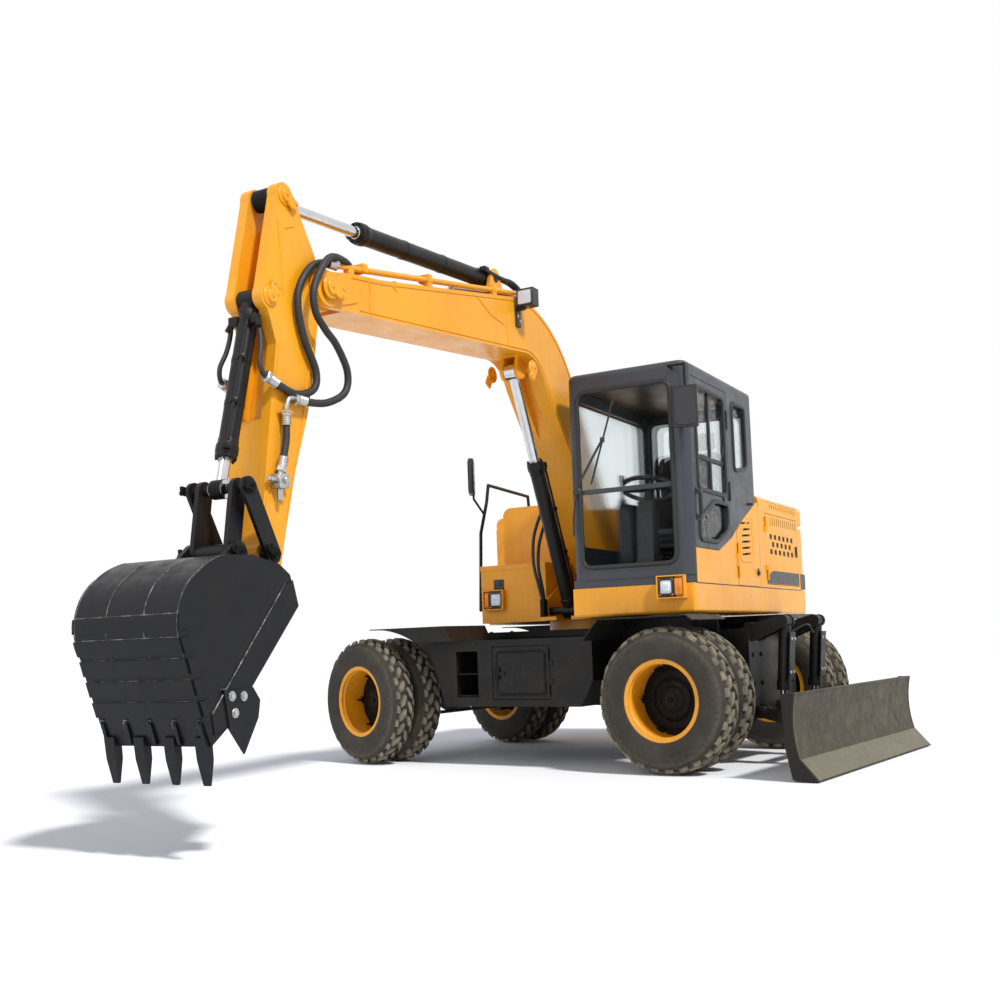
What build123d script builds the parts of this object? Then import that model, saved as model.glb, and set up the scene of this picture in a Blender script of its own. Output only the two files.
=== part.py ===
"""Wheeled excavator of the ten tonne class, at its real size in millimetres.

The origin is on the ground under the slew axis, +Z is up. The upper machine points along +X, with the
cab on its left, at +Y. The undercarriage is modelled along its own +X, towards the dozer blade, and is
then turned about the slew axis, because the machine stands with its boom over one side.
"""
import os
from math import atan2, cos, hypot, pi, radians, sin

from build123d import *

os.makedirs("parts", exist_ok=True)

# Stance of the whole machine
UNDER_TURN = 84.0            # from the boom round to the dozer blade, degrees
STEER_REST = -11.9           # the front wheels' turn at rest, degrees
RUN = 0.05                   # radial clearance of a pin or rod in its bore
SEAT = 0.3                   # clearance of a piece that only rests on its neighbour
GAP = 5.0                    # clearance beside a moving piece

# Wheels and axles, in the undercarriage's frame
TYRE_R = 489.0
TYRE_W = 236.0
BEAD_R = 254.0
LUGS = 14                    # tread blocks round each half of a tyre
LUG_DEPTH = 34.0
TYRE_SIDES = 20              # flats round a tyre's shoulder and bead
TWIN_PITCH = 270.0
RIM_FACE_Y = 1154.0
RIM_FLANGE_R = BEAD_R + 36.5
RIM_WALL = 8.0
RIM_W = 202.0
HUB_R = 150.0
SPINDLE_R = 60.0
REAR_AXLE_X = 1113.0
FRONT_AXLE_X = -1457.0
KINGPIN_Y = 780.0
KINGPIN_R = 25.0
YOKE_IN = 140.0              # half height of the knuckle inside its yoke
YOKE_OUT = 185.0
TIE_REACH = 120.0            # tie rod ball behind the kingpin
TIE_DROP = 104.0
OUTER_Y = RIM_FACE_Y - RIM_W / 2
INNER_Y = OUTER_Y - TWIN_PITCH
RISE = 2 * (TYRE_R - 489.0)  # larger tyres lift the whole machine, drawn standing on 978 mm ones
AXLE_Z = TYRE_R - RISE

# Chassis, in the undercarriage's frame
GIRDER_HALF = 300.0
GIRDER_TOP = 940.0
AXLE_ROOF = AXLE_Z + 151.0   # underside of the girder over the rear axle
DECK_TOP = 990.0
BOX_TOP = 930.0
DECK_HALF = 400.0
BOX_HALF = 1000.0
GUARD_TOP = 1046.0
GUARD_IN = 640.0
GUARD_OUT = 1150.0
RING_R = 395.0
CHASSIS_REAR = 1430.0

# Dozer blade, in the undercarriage's frame
BLADE_X = 2058.0
BLADE_HALF = 1207.0
BLADE_TOP = 535.0
BLADE_FOOT = 8.0 - RISE
LIP_REACH = 115.0
BLADE_PIVOT = (1470.0, 360.0)
BLADE_ARM_Y = 300.0
BLADE_HEAD = (1655.0, 985.0)
BLADE_ROD = (1610.0, 412.0)

# Upper machine
UPPER_FLOOR = 1060.0
PLATE_T = 28.0
SKIRT_TOP = 1262.0
SIDE_Y = 1178.0
TAIL_X = -1841.0
CAB_FRONT = 1029.0
CAB_REAR = -444.0
CAB_RIGHT = 275.0
CAB_FLOOR = 1320.0
CAB_EAVE = 2700.0
CAB_ROOF = 2788.0
CAB_WALL = 40.0
HOOD_TOP = 1993.0
HOOD_FRONT = -480.0
HOOD_HINGE = (HOOD_FRONT + 1.0, HOOD_TOP - 11.0)
TANK_TOP = 1990.0
BOX_LID_Z = 1490.0
LID_HINGE = (210.0, BOX_LID_Z + 13.0)
RAIL_Y = -800.0
SHEET = 25.0
VENTS = 13                   # upright slots in a row along the engine house
VENT_START = -800.0
VENT_PITCH = 61.0
HOLE_PITCH = 122.0
HOLE_ROWS = ((6, -803.0, 1680.0), (5, -861.0, 1619.0), (6, -803.0, 1558.0))   # count, first x, height

# Working equipment, in the plane of the boom: x and z of each pin
BOOM_FOOT = (0.0, 1500.0)
BOOM_TIP = (3620.0, 2800.0)
BOOM_HALF = 160.0
FOOT_HALF = 165.0
ARM_HALF = 118.0
ARM_TIP = (4120.0, 1090.0)
BOOM_CYL_FOOT = (510.0, 1133.0)
BOOM_CYL_EYE = (1300.0, 2810.0)
ARM_CYL_FOOT = (1650.0, 3380.0)
ARM_CYL_EYE = (3900.0, 3220.0)
BUCKET_CYL_FOOT = (4030.0, 2665.0)
ROCKER_PIN = (4114.0, 1374.0)
LINK_PIN = (4280.0, 1685.0)
EAR_PIN = (4328.0, 1375.0)
BUCKET_HALF = 313.0
BUCKET_FRONT = ((4706.0, 512.0), (4805.0, 771.0), (4853.0, 906.0))
PIPE_Y = 142.0
BOOM_TOP = ((1420.0, 3282.0), (3114.0, 2972.0), (3400.0, 2936.0))


def upright(low, high):
    """The four corners of an upright opening."""
    return [(low[0], low[1]), (high[0], low[1]), (high[0], high[1]), (low[0], high[1])]


# Cab windows, as corners across the cab for the screens and along it for the sides
WINDOW_R = 60.0
PANE_R = 38.0
BAR_Z = (1925.0, 1957.0)
SCREEN = upright((360, 1405), (1060, 2650))
REAR_WINDOW = upright((370, 1990), (1085, 2620))
RIGHT_WINDOW = upright((-300, 1560), (900, 2620))
SIDE_WINDOW = [(60, 2120), (60, 2640), (-245, 2640), (-245, 2170)]
DOOR_WINDOW = upright((260, 1910), (870, 2630))
DOOR_LOWER_WINDOW = [(880, 1560), (880, 1700), (560, 1850), (260, 1850), (260, 1665), (510, 1560)]


def save(piece, name, turn=0.0):
    """Turn a finished piece about the slew axis, lift it with the tyres and write its STEP file."""
    placed = piece.rotate(Axis.Z, turn).moved(Location((0, 0, RISE)))
    placed.label = name
    export_step(placed, f"parts/{name}.step")


def slab(outline, low, high, mode=Mode.ADD):
    """A straight-edged outline drawn on the XZ plane, filled from y = low to y = high."""
    with BuildSketch(Plane.XZ.offset(-low)) as face:
        with BuildLine():
            Polyline(*outline, close=True)
        make_face()
    extrude(face.sketch, amount=-(high - low), mode=mode)


def curved(start, moves, low, high, mode=Mode.ADD):
    """Like slab, for lines and arcs: each move is a line's end, or an arc's middle and end."""
    with BuildSketch(Plane.XZ.offset(-low)) as face:
        with BuildLine():
            here = start
            for move in moves:
                if len(move) == 1:
                    Line(here, move[0])
                else:
                    ThreePointArc(here, move[0], move[1])
                here = move[-1]
            Line(here, start)
        make_face()
    extrude(face.sketch, amount=-(high - low), mode=mode)


def rounded(outline, radius, low, high, inset=0.0, across="y", mode=Mode.ADD):
    """Like slab, with round corners and its edge drawn in by an inset; it may also be drawn across x."""
    flat = Plane.XZ.offset(-low) if across == "y" else Plane.YZ.offset(low)
    depth = low - high if across == "y" else high - low
    with BuildSketch(flat) as face:
        with BuildLine():
            Polyline(*outline, close=True)
        make_face()
        fillet(face.vertices(), radius)
        if inset:
            offset(amount=-inset, mode=Mode.REPLACE)
    extrude(face.sketch, amount=depth, mode=mode)


def rail(points, radius):
    """A round bar bent along a chain of points, with a ball in each bend."""
    for first, last in zip(points, points[1:]):
        start = Vector(*first)
        run = Vector(*last) - start
        with BuildSketch(Plane(origin=start, z_dir=run)) as face:
            Circle(radius)
        extrude(face.sketch, amount=run.length)
    for point in points[1:-1]:
        with Locations(point):
            Sphere(radius)


def sheet(outline, low, high, mode=Mode.ADD):
    """A straight-edged outline drawn in plan, filled from z = low to z = high."""
    with BuildSketch(Plane.XY.offset(low)) as face:
        with BuildLine():
            Polyline(*outline, close=True)
        make_face()
    extrude(face.sketch, amount=high - low, mode=mode)


def block(x, y, z, mode=Mode.ADD):
    """A plain block between two limits on each axis."""
    centre = ((x[0] + x[1]) / 2, (y[0] + y[1]) / 2, (z[0] + z[1]) / 2)
    with Locations(centre):
        Box(x[1] - x[0], y[1] - y[0], z[1] - z[0], mode=mode)


def pin(at, radius, low, high, mode=Mode.ADD):
    """A round bar across the machine, from y = low to y = high, at x and z."""
    with BuildSketch(Plane.XZ.offset(-low)) as face:
        with Locations(at):
            Circle(radius)
    extrude(face.sketch, amount=-(high - low), mode=mode)


def post(at, radius, low, high, mode=Mode.ADD):
    """A round bar standing at x and y, from z = low to z = high."""
    with BuildSketch(Plane.XY.offset(low)) as face:
        with Locations(at):
            Circle(radius)
    extrude(face.sketch, amount=high - low, mode=mode)


def turned(profile, mode=Mode.ADD):
    """A half section, as points (radius, y), turned about the Y axis."""
    with BuildSketch(Plane.XY) as face:
        with BuildLine():
            Polyline(*profile, close=True)
        make_face()
    revolve(face.sketch, axis=Axis.Y, mode=mode)


def flats(radius, sides):
    """The corners of a regular outline round the origin."""
    return [(radius * cos(2 * pi * k / sides), radius * sin(2 * pi * k / sides)) for k in range(sides)]


def faceted_cone(first, last, sides, mode=Mode.ADD):
    """A flat-sided cone between two rings, each given as (radius, y)."""
    rings = []
    for radius, y in (first, last):
        with BuildSketch(Plane.XZ.offset(-y)) as face:
            with BuildLine():
                Polyline(*flats(radius, sides), close=True)
            make_face()
        rings.append(face.sketch)
    loft(rings, ruled=True, mode=mode)


def hull(circles, low, high, mode=Mode.ADD):
    """A plate with round ends: the belt round circles given as (x, z, radius), in order."""
    with BuildSketch(Plane.XZ.offset(-low)) as face:
        for (x1, z1, r1), (x2, z2, r2) in zip(circles, circles[1:]):
            with Locations((x1, z1)):
                Circle(r1)
            with Locations((x2, z2)):
                Circle(r2)
            length = hypot(x2 - x1, z2 - z1)
            heading = atan2(z2 - z1, x2 - x1)
            lean = (r1 - r2) / length
            side = (1 - lean * lean) ** 0.5
            belt = []
            first, second = (x1, z1, r1), (x2, z2, r2)
            for sign, (x, z, r) in ((1, first), (1, second), (-1, second), (-1, first)):
                nx = cos(heading) * lean - sin(heading) * side * sign
                nz = sin(heading) * lean + cos(heading) * side * sign
                belt.append((x + r * nx, z + r * nz))
            with BuildLine():
                Polyline(*belt, close=True)
            make_face()
    extrude(face.sketch, amount=-(high - low), mode=mode)


def leaf(axis, wall_x, face_y, side, low, high):
    """The fixed half of a door hinge: a knuckle on the hinge axis and its leaf on the wall's outer face."""
    axis_x, reach = axis
    post((axis_x, face_y + side * reach), reach - 0.5, low, high)
    block(sorted((axis_x, wall_x)), sorted((face_y, face_y + side * reach)), (low, high))


def knuckles(axis, face_y, side, spans):
    """The moving half of a door hinge: its knuckles, sunk a little into the door's face."""
    axis_x, reach = axis
    for low, high in spans:
        post((axis_x, face_y + side * reach), reach + 0.5, low, high)


def towards(start, end):
    """Unit vector and length from one pin to another, in x and z."""
    length = hypot(end[0] - start[0], end[1] - start[1])
    return ((end[0] - start[0]) / length, (end[1] - start[1]) / length), length


def along(start, end, distance):
    """The point at a distance from start on the line to end."""
    (ux, uz), _ = towards(start, end)
    return (start[0] + ux * distance, start[1] + uz * distance)


def line_plane(start, end, distance=0.0, y=0.0):
    """A plane across the line from start to end, at a distance along it."""
    (ux, uz), _ = towards(start, end)
    x, z = along(start, end, distance)
    return Plane(origin=(x, y, z), x_dir=(0, 1, 0), z_dir=(ux, 0, uz))


def rod_bar(start, end, radius, first, last, y=0.0, mode=Mode.ADD):
    """A round bar on the line from start to end, between two distances from start."""
    with BuildSketch(line_plane(start, end, first, y)) as face:
        Circle(radius)
    extrude(face.sketch, amount=last - first, mode=mode)


def barrel_of(name, foot, eye, bore_r, tube_r, foot_r, foot_half, pin_r, pin_half, reach, y=0.0, turn=0.0,
              guard=None):
    """A cylinder's barrel: foot eye with its pin, tube and gland, open for the rod, maybe with a guard."""
    with BuildPart() as barrel:
        pin(foot, foot_r, y - foot_half, y + foot_half)
        pin(foot, pin_r, y - pin_half, y + pin_half)
        rod_bar(foot, eye, tube_r, foot_r * 0.7, reach, y)
        rod_bar(foot, eye, tube_r * 1.11, reach - 60, reach, y)
        if guard:
            first, last = guard
            for width, depth, stand in ((96, 8, tube_r + 14), (30, 16, tube_r + 4)):
                with BuildSketch(line_plane(foot, eye, first, y)) as plate:
                    with Locations((0, stand)):
                        Rectangle(width, depth)
                extrude(plate.sketch, amount=last - first)
        rod_bar(foot, eye, bore_r + RUN, foot_r + 30, reach, y, mode=Mode.SUBTRACT)
    save(barrel.part, name, turn)


def rod_of(name, foot, eye, rod_r, eye_r, eye_half, start, y=0.0, turn=0.0):
    """A cylinder's rod with its eye, the eye's pin made in one with it."""
    _, length = towards(foot, eye)
    with BuildPart() as rod:
        rod_bar(foot, eye, rod_r, start, length, y)
        pin(eye, eye_r, y - eye_half, y + eye_half)
    save(rod.part, name, turn)


def chassis_frame():
    with BuildPart() as frame:
        slab([(-1760, 700), (-1760, 890), (-1700, GIRDER_TOP), (CHASSIS_REAR - 20, GIRDER_TOP),
              (CHASSIS_REAR - 20, AXLE_ROOF), (800, AXLE_ROOF), (700, 430), (-900, 430), (-1050, 700)],
             -GIRDER_HALF, GIRDER_HALF)
        slab([(-850, GIRDER_TOP), (-850, 975), (-835, DECK_TOP), (850, DECK_TOP), (850, GIRDER_TOP)],
             -DECK_HALF, DECK_HALF)
        block((-1060, 820), (-130, 130), (420, 600), mode=Mode.SUBTRACT)
        block((1130, CHASSIS_REAR), (-420, 420), (AXLE_ROOF, GIRDER_TOP + 5))
        block((CHASSIS_REAR - 30, CHASSIS_REAR), (-420, 420), (320, GIRDER_TOP + 5))
        for side in (-1, 1):
            y = side * BLADE_ARM_Y
            for offset in (-57, 57):
                low, high = y + offset - 10, y + offset + 10
                hull([(CHASSIS_REAR - 40, 900, 60), (*BLADE_HEAD, 45)], low, high)
                pin(BLADE_HEAD, 20 + RUN, low, high, mode=Mode.SUBTRACT)
            for offset in (-55, 55):
                low, high = y + offset - 12, y + offset + 12
                hull([(CHASSIS_REAR - 10, BLADE_PIVOT[1] + 10, 45), (*BLADE_PIVOT, 42)], low, high)
                pin(BLADE_PIVOT, 22 + RUN, low, high, mode=Mode.SUBTRACT)
            block((CHASSIS_REAR - 45, CHASSIS_REAR), (y - 75, y + 75), (940, 985))
            block((860, 1330), (side * 300 - 30, side * 300 + 30), (AXLE_ROOF - 60, AXLE_ROOF))
    save(frame.part, "chassis_frame", UNDER_TURN)


def side_boxes():
    with BuildPart() as boxes:
        for side in (-1, 1):
            inner, outer = sorted((side * (GIRDER_HALF + SEAT), side * BOX_HALF))
            slab([(-950, BOX_TOP), (-790, 440), (410, 440), (515, 620), (515, BOX_TOP)], inner, outer)
            recess = sorted((side * (BOX_HALF - 260), side * (BOX_HALF + 10)))
            block((-675, -475), recess, (510, 850), mode=Mode.SUBTRACT)
            panel = sorted((side * (BOX_HALF - 24), side * (BOX_HALF + 10)))
            block((-345, 165), panel, (490, 880), mode=Mode.SUBTRACT)
            leaf((152, 8), 185, side * BOX_HALF, side, 600, 640)
            leaf((152, 8), 185, side * BOX_HALF, side, 730, 770)
    save(boxes.part, "side_boxes", UNDER_TURN)


def side_box_doors():
    for side, name in ((-1, "right_box_door"), (1, "left_box_door")):
        with BuildPart() as door:
            low, high = sorted((side * (BOX_HALF - 23), side * (BOX_HALF - 0.5)))
            block((-339, 159), (low, high), (496, 874))
            knuckles((152, 8), side * (BOX_HALF - 0.5), side, ((520, 600), (770, 850)))
            block((-300, -230), sorted((side * (BOX_HALF - 2), side * (BOX_HALF + 12))), (670, 690))
        save(door.part, name, UNDER_TURN)


def mudguards():
    with BuildPart() as guards:
        for side in (-1, 1):
            low, high = sorted((side * GUARD_IN, side * GUARD_OUT))
            with BuildSketch(Plane.XZ.offset(-low)) as wedge:
                with BuildLine():
                    Polyline((-950, BOX_TOP), (-600, BOX_TOP), (-660, GUARD_TOP), (-1400, GUARD_TOP),
                             (-1400, GUARD_TOP - 8))
                    ThreePointArc((-1400, GUARD_TOP - 8), (-1130, GUARD_TOP - 38), (-950, BOX_TOP))
                make_face()
            extrude(wedge.sketch, amount=-(high - low))
            slab([(528, BOX_TOP - 25), (655, GUARD_TOP), (1320, GUARD_TOP), (1365, GUARD_TOP - 34),
                  (1357, GUARD_TOP - 40), (1316, GUARD_TOP - 10), (660, GUARD_TOP - 10), (538, BOX_TOP - 31)],
                 low, high)
            inner = sorted((side * GUARD_IN, side * (GUARD_IN - 10)))
            under = [(553, BOX_TOP - 5), (655, GUARD_TOP - 8), (1310, GUARD_TOP - 8), (1310, BOX_TOP - 5)]
            slab(under, *inner)
            shelf = sorted((side * (GIRDER_HALF + SEAT), side * GUARD_IN))
            block((565, 1120), shelf, (BOX_TOP - 30, BOX_TOP - 5))
    save(guards.part, "mudguards", UNDER_TURN)


def rear_axle():
    with BuildPart() as axle:
        pin((REAR_AXLE_X, AXLE_Z), 75, -KINGPIN_Y + 60, KINGPIN_Y - 60)
        pin((REAR_AXLE_X, AXLE_Z), 145, -110, 110)
        with BuildSketch(Plane.YZ.offset(REAR_AXLE_X - 190)) as nose:
            with Locations((0, AXLE_Z)):
                Circle(80)
        extrude(nose.sketch, amount=250)
        for side in (-1, 1):
            low, high = sorted((side * (KINGPIN_Y - 90), side * (KINGPIN_Y + 60)))
            pin((REAR_AXLE_X, AXLE_Z), 110, low, high)
            low, high = sorted((side * (KINGPIN_Y + 55), side * (KINGPIN_Y + 120)))
            pin((REAR_AXLE_X, AXLE_Z), SPINDLE_R, low, high)
            block((REAR_AXLE_X - 100, REAR_AXLE_X + 100), (side * 300 - 40, side * 300 + 40),
                  (AXLE_Z + 11, AXLE_ROOF - 60 - SEAT))
    save(axle.part, "rear_axle", UNDER_TURN)


def front_axle():
    x = FRONT_AXLE_X
    with BuildPart() as axle:
        pin((x, AXLE_Z), 68, -640, 640)
        pin((x, AXLE_Z), 140, -110, 110)
        with BuildSketch(Plane.YZ.offset(x - 60)) as nose:
            with Locations((0, AXLE_Z)):
                Circle(80)
        extrude(nose.sketch, amount=250)
        block((x - 110, x + 110), (-90, 90), (AXLE_Z + 71, 700 - SEAT))
        for side in (-1, 1):
            web = sorted((side * 600, side * 690))
            block((x - 40, x + 40), web, (AXLE_Z - YOKE_OUT, AXLE_Z + YOKE_OUT))
            for low, high in ((AXLE_Z + YOKE_IN, AXLE_Z + YOKE_OUT), (AXLE_Z - YOKE_OUT, AXLE_Z - YOKE_IN)):
                arm = sorted((side * 640, side * KINGPIN_Y))
                block((x - 40, x + 40), arm, (low, high))
                post((x, side * KINGPIN_Y), 45, low, high)
                post((x, side * KINGPIN_Y), KINGPIN_R + RUN, low - 1, high + 1, mode=Mode.SUBTRACT)
    save(axle.part, "front_axle", UNDER_TURN)


def knuckle(side, name):
    """A steering knuckle, drawn straight ahead about its kingpin and then turned."""
    with BuildPart() as part:
        post((0, 0), 55, -YOKE_IN + GAP, YOKE_IN - GAP)
        post((0, 0), KINGPIN_R, -YOKE_OUT, YOKE_OUT)
        low, high = sorted((side * 20, side * 60))
        pin((0, 0), 95, low, high)
        low, high = sorted((side * 50, side * 120))
        pin((0, 0), SPINDLE_R, low, high)
        block((40, TIE_REACH), (-16, 16), (-TIE_DROP - 14, -TIE_DROP + 14))
        post((TIE_REACH, 0), 20, -TIE_DROP - 14, -TIE_DROP + 14)
        post((TIE_REACH, 0), 12, -TIE_DROP - 50, -TIE_DROP + 14)
    turned_part = part.part.rotate(Axis.Z, STEER_REST)
    save(turned_part.moved(Location((FRONT_AXLE_X, side * KINGPIN_Y, AXLE_Z))), name, UNDER_TURN)


def ball_at(side):
    """Where a tie rod ball stands at rest, in the undercarriage's plan."""
    turn = radians(STEER_REST)
    return (FRONT_AXLE_X + TIE_REACH * cos(turn), side * KINGPIN_Y + TIE_REACH * sin(turn))


def tie_rod():
    left, right = ball_at(1), ball_at(-1)
    high = AXLE_Z - TIE_DROP - 15
    with BuildPart() as rod:
        for end in (left, right):
            post(end, 24, high - 32, high)
            post(end, 12 + RUN, high - 33, high + 1, mode=Mode.SUBTRACT)
        middle = ((left[0] + right[0]) / 2, (left[1] + right[1]) / 2, high - 16)
        reach = hypot(left[0] - right[0], left[1] - right[1])
        lean = Plane(origin=middle, x_dir=(0, 0, 1), z_dir=(left[0] - right[0], left[1] - right[1], 0))
        with BuildSketch(lean) as bar:
            Circle(14)
        extrude(bar.sketch, amount=reach / 2 - 18, both=True)
    save(rod.part, "tie_rod", UNDER_TURN)


def wheel_place(axle_x, side):
    """Where a wheel's centre plane stands: the kingpin line of its axle."""
    turn = STEER_REST if axle_x == FRONT_AXLE_X else 0.0
    return turn, Location((axle_x, side * KINGPIN_Y, AXLE_Z))


def lugged_ring(shift):
    """Outline of one half of the tread: blocks at TYRE_R on the casing, shifted by part of their pitch."""
    root = TYRE_R - LUG_DEPTH
    corners = []
    for lug in range(LUGS):
        for share, radius in ((0.04, root), (0.12, TYRE_R), (0.56, TYRE_R), (0.64, root)):
            turn = 2 * pi * (lug + share + shift) / LUGS
            corners.append((radius * cos(turn), radius * sin(turn)))
    return corners


def twin_tyres():
    """The two tyres of a wheel about the Y axis, the kingpin line at the origin, on the left side."""
    half = TYRE_W / 2
    casing = TYRE_R - LUG_DEPTH - 3
    shoulder = 0.83 * TYRE_R
    with BuildPart() as tyres:
        for y in (OUTER_Y - KINGPIN_Y, INNER_Y - KINGPIN_Y):
            slab(lugged_ring(0.0), y - half + 18, y)
            slab(lugged_ring(0.5), y, y + half - 18)
            for side in (-1, 1):
                faceted_cone((casing, y + side * (half - 23)), (shoulder, y + side * half), TYRE_SIDES)
                faceted_cone((shoulder, y + side * half), (BEAD_R + 2, y + side * (half - 37)), TYRE_SIDES,
                             mode=Mode.SUBTRACT)
            slab(flats((BEAD_R + SEAT) / cos(pi / TYRE_SIDES), TYRE_SIDES), y - half - 1, y + half + 1,
                 mode=Mode.SUBTRACT)
    return tyres.part


def tyre_pair(tyres, name, axle_x, side):
    turn, place = wheel_place(axle_x, side)
    handed = tyres if side > 0 else tyres.rotate(Axis.Z, 180)
    save(handed.rotate(Axis.Z, turn).moved(place), name, UNDER_TURN)


def wheel(name, axle_x, side):
    """Twin rims with the spacer band between them, on a spoked hub."""
    turn, place = wheel_place(axle_x, side)
    out = OUTER_Y - KINGPIN_Y
    inn = INNER_Y - KINGPIN_Y
    half = RIM_W / 2
    inner_r = BEAD_R - RIM_WALL
    with BuildPart() as part:
        profile = [(inner_r, inn - half), (RIM_FLANGE_R, inn - half), (RIM_FLANGE_R, inn - half + 8),
                   (BEAD_R, inn - half + 14), (BEAD_R, inn + half - 14), (RIM_FLANGE_R, inn + half - 8),
                   (RIM_FLANGE_R, inn + half), (BEAD_R, inn + half), (BEAD_R, out - half),
                   (RIM_FLANGE_R, out - half), (RIM_FLANGE_R, out - half + 8), (BEAD_R, out - half + 14),
                   (BEAD_R, out + half - 14), (RIM_FLANGE_R, out + half - 8), (RIM_FLANGE_R, out + half),
                   (inner_r, out + half - 6)]
        turned([(r, side * y) for r, y in profile])
        turned([(0, side * 62), (HUB_R, side * 62), (HUB_R, side * 160), (120, side * 185), (60, side * 215),
                (0, side * 220)])
        low, high = sorted((side * 118, side * 160))
        for spoke in range(6):
            with BuildSketch(Plane.XZ.offset(-low)) as arm:
                with Locations(Rot(0, 0, 60 * spoke) * Pos(190, 0)):
                    Rectangle(124, 70)
            extrude(arm.sketch, amount=-(high - low))
        low, high = sorted((side * 61, side * 125))
        pin((0, 0), SPINDLE_R + RUN, low, high, mode=Mode.SUBTRACT)
    save(part.part.rotate(Axis.Z, turn).moved(place), name, UNDER_TURN)


def driveline():
    with BuildPart() as shafts:
        block((-150, 150), (-125, 125), (395, 600 - SEAT))
        with BuildSketch(Plane.YZ.offset(150)) as shaft:
            with Locations((0, AXLE_Z)):
                Circle(38)
        extrude(shaft.sketch, amount=REAR_AXLE_X - 190 - 150 - SEAT)
        with BuildSketch(Plane.YZ.offset(FRONT_AXLE_X + 190 + SEAT)) as shaft:
            with Locations((0, AXLE_Z)):
                Circle(38)
        extrude(shaft.sketch, amount=-150 - (FRONT_AXLE_X + 190 + SEAT))
    save(shafts.part, "driveline", UNDER_TURN)


def slew_ring():
    with BuildPart() as ring:
        post((0, 0), RING_R, DECK_TOP, UPPER_FLOOR - SEAT)
        post((0, 0), RING_R - 60, DECK_TOP - 1, UPPER_FLOOR + 1, mode=Mode.SUBTRACT)
    save(ring.part, "slew_ring")


def blade():
    px, pz = BLADE_PIVOT
    with BuildPart() as part:
        with BuildSketch(Plane.XZ.offset(BLADE_HALF)) as face:
            with BuildLine():
                Polyline((BLADE_X - 12, BLADE_TOP), (BLADE_X - 45, BLADE_TOP), (BLADE_X - 85, 330),
                         (BLADE_X - 75, 120), (BLADE_X - 30, BLADE_FOOT), (BLADE_X + LIP_REACH, BLADE_FOOT),
                         (BLADE_X, 135))
                ThreePointArc((BLADE_X, 135), (BLADE_X - 32, 330), (BLADE_X - 12, BLADE_TOP))
            make_face()
        extrude(face.sketch, amount=-2 * BLADE_HALF)
        for side in (-1, 1):
            low, high = sorted((side * BLADE_HALF, side * (BLADE_HALF - 16)))
            slab([(BLADE_X - 12, BLADE_TOP), (BLADE_X - 100, BLADE_TOP), (BLADE_X - 85, 200),
                  (BLADE_X - 45, BLADE_FOOT), (BLADE_X + LIP_REACH, BLADE_FOOT), (BLADE_X, 140)], low, high)
            y = side * BLADE_ARM_Y
            hull([(px, pz, 40), (1610, 325, 40), (1990, 250, 80)], y - 38, y + 38)
            pin(BLADE_PIVOT, 22, y - 67, y + 67)
            for offset in (-46, 46):
                low, high = y + offset - 10, y + offset + 10
                hull([(*BLADE_ROD, 38), (1625, 325, 36)], low, high)
        block((1640, 1700), (-BLADE_ARM_Y, BLADE_ARM_Y), (250, 330))
    save(part.part, "blade", UNDER_TURN)


def blade_cylinders():
    for side, word in ((-1, "right"), (1, "left")):
        y = side * BLADE_ARM_Y
        barrel_of(f"{word}_blade_cylinder", BLADE_HEAD, BLADE_ROD, 22, 42, 38, 42, 20, 67, 475, y, UNDER_TURN,
                  guard=(75, 400))
        rod_of(f"{word}_blade_rod", BLADE_HEAD, BLADE_ROD, 22, 34, 31, 130, y, UNDER_TURN)


def swing_frame():
    """Base plate, skirt under the cab and down the left side, and the boom's two bracket plates."""
    outline = [(-1760, -SIDE_Y), (-1760, SIDE_Y), (CAB_FRONT, SIDE_Y), (CAB_FRONT, CAB_RIGHT),
               (640, CAB_RIGHT - 25), (640, -200), (500, -200), (500, -780), (0, -800), (-300, -SIDE_Y)]
    inside = [(-1730, CAB_RIGHT + SHEET), (-1730, SIDE_Y - SHEET), (CAB_FRONT - SHEET, SIDE_Y - SHEET),
              (CAB_FRONT - SHEET, CAB_RIGHT + SHEET)]
    low = UPPER_FLOOR + PLATE_T
    with BuildPart() as frame:
        sheet(outline, UPPER_FLOOR, low)
        sheet([(-1760, CAB_RIGHT), (-1760, SIDE_Y), (CAB_FRONT, SIDE_Y), (CAB_FRONT, CAB_RIGHT)],
              UPPER_FLOOR, SKIRT_TOP)
        edges = frame.edges().filter_by(Axis.X).group_by(Axis.Z)[0].sort_by(Axis.Y)[-1:]
        fillet(edges, 24)
        edges = frame.edges().filter_by(Axis.Y).group_by(Axis.Z)[0].sort_by(Axis.X)[-1:]
        fillet(edges, 24)
        sheet(inside, low, SKIRT_TOP + 10, mode=Mode.SUBTRACT)
        block((-1730, -480), (CAB_RIGHT - 5, CAB_RIGHT + SHEET + 5), (low, SKIRT_TOP + 5), mode=Mode.SUBTRACT)
        block((-1760, -480), (-SIDE_Y, -SIDE_Y + SHEET), (low - 1, SKIRT_TOP))
        for side in (-1, 1):
            plate = sorted((side * (FOOT_HALF + 7), side * (FOOT_HALF + 32)))
            slab([(-620, low - 5), (620, low - 5), (620, 1150), (560, 1215), (190, 1400)], *plate)
            hull([(-500, 1150, 60), (*BOOM_FOOT, 95), (200, 1300, 95)], *plate)
            bracket = [(-560, low - 5), (-560, 1150), (-60, 1560), (60, 1560), (400, 1200), (400, low - 5)]
            slab(bracket, *plate)
            pin(BOOM_FOOT, 40 + RUN, *plate, mode=Mode.SUBTRACT)
            pin(BOOM_CYL_FOOT, 30 + RUN, *plate, mode=Mode.SUBTRACT)
        block((BOOM_CYL_FOOT[0] - 90, 650), (-62, 62), (UPPER_FLOOR - 1, low + 1), mode=Mode.SUBTRACT)
        for x in (-370, 930):
            for y in (350, 1100):
                post((x, y), 40, low - 1, CAB_FLOOR)
    save(frame.part, "swing_frame")


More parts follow.
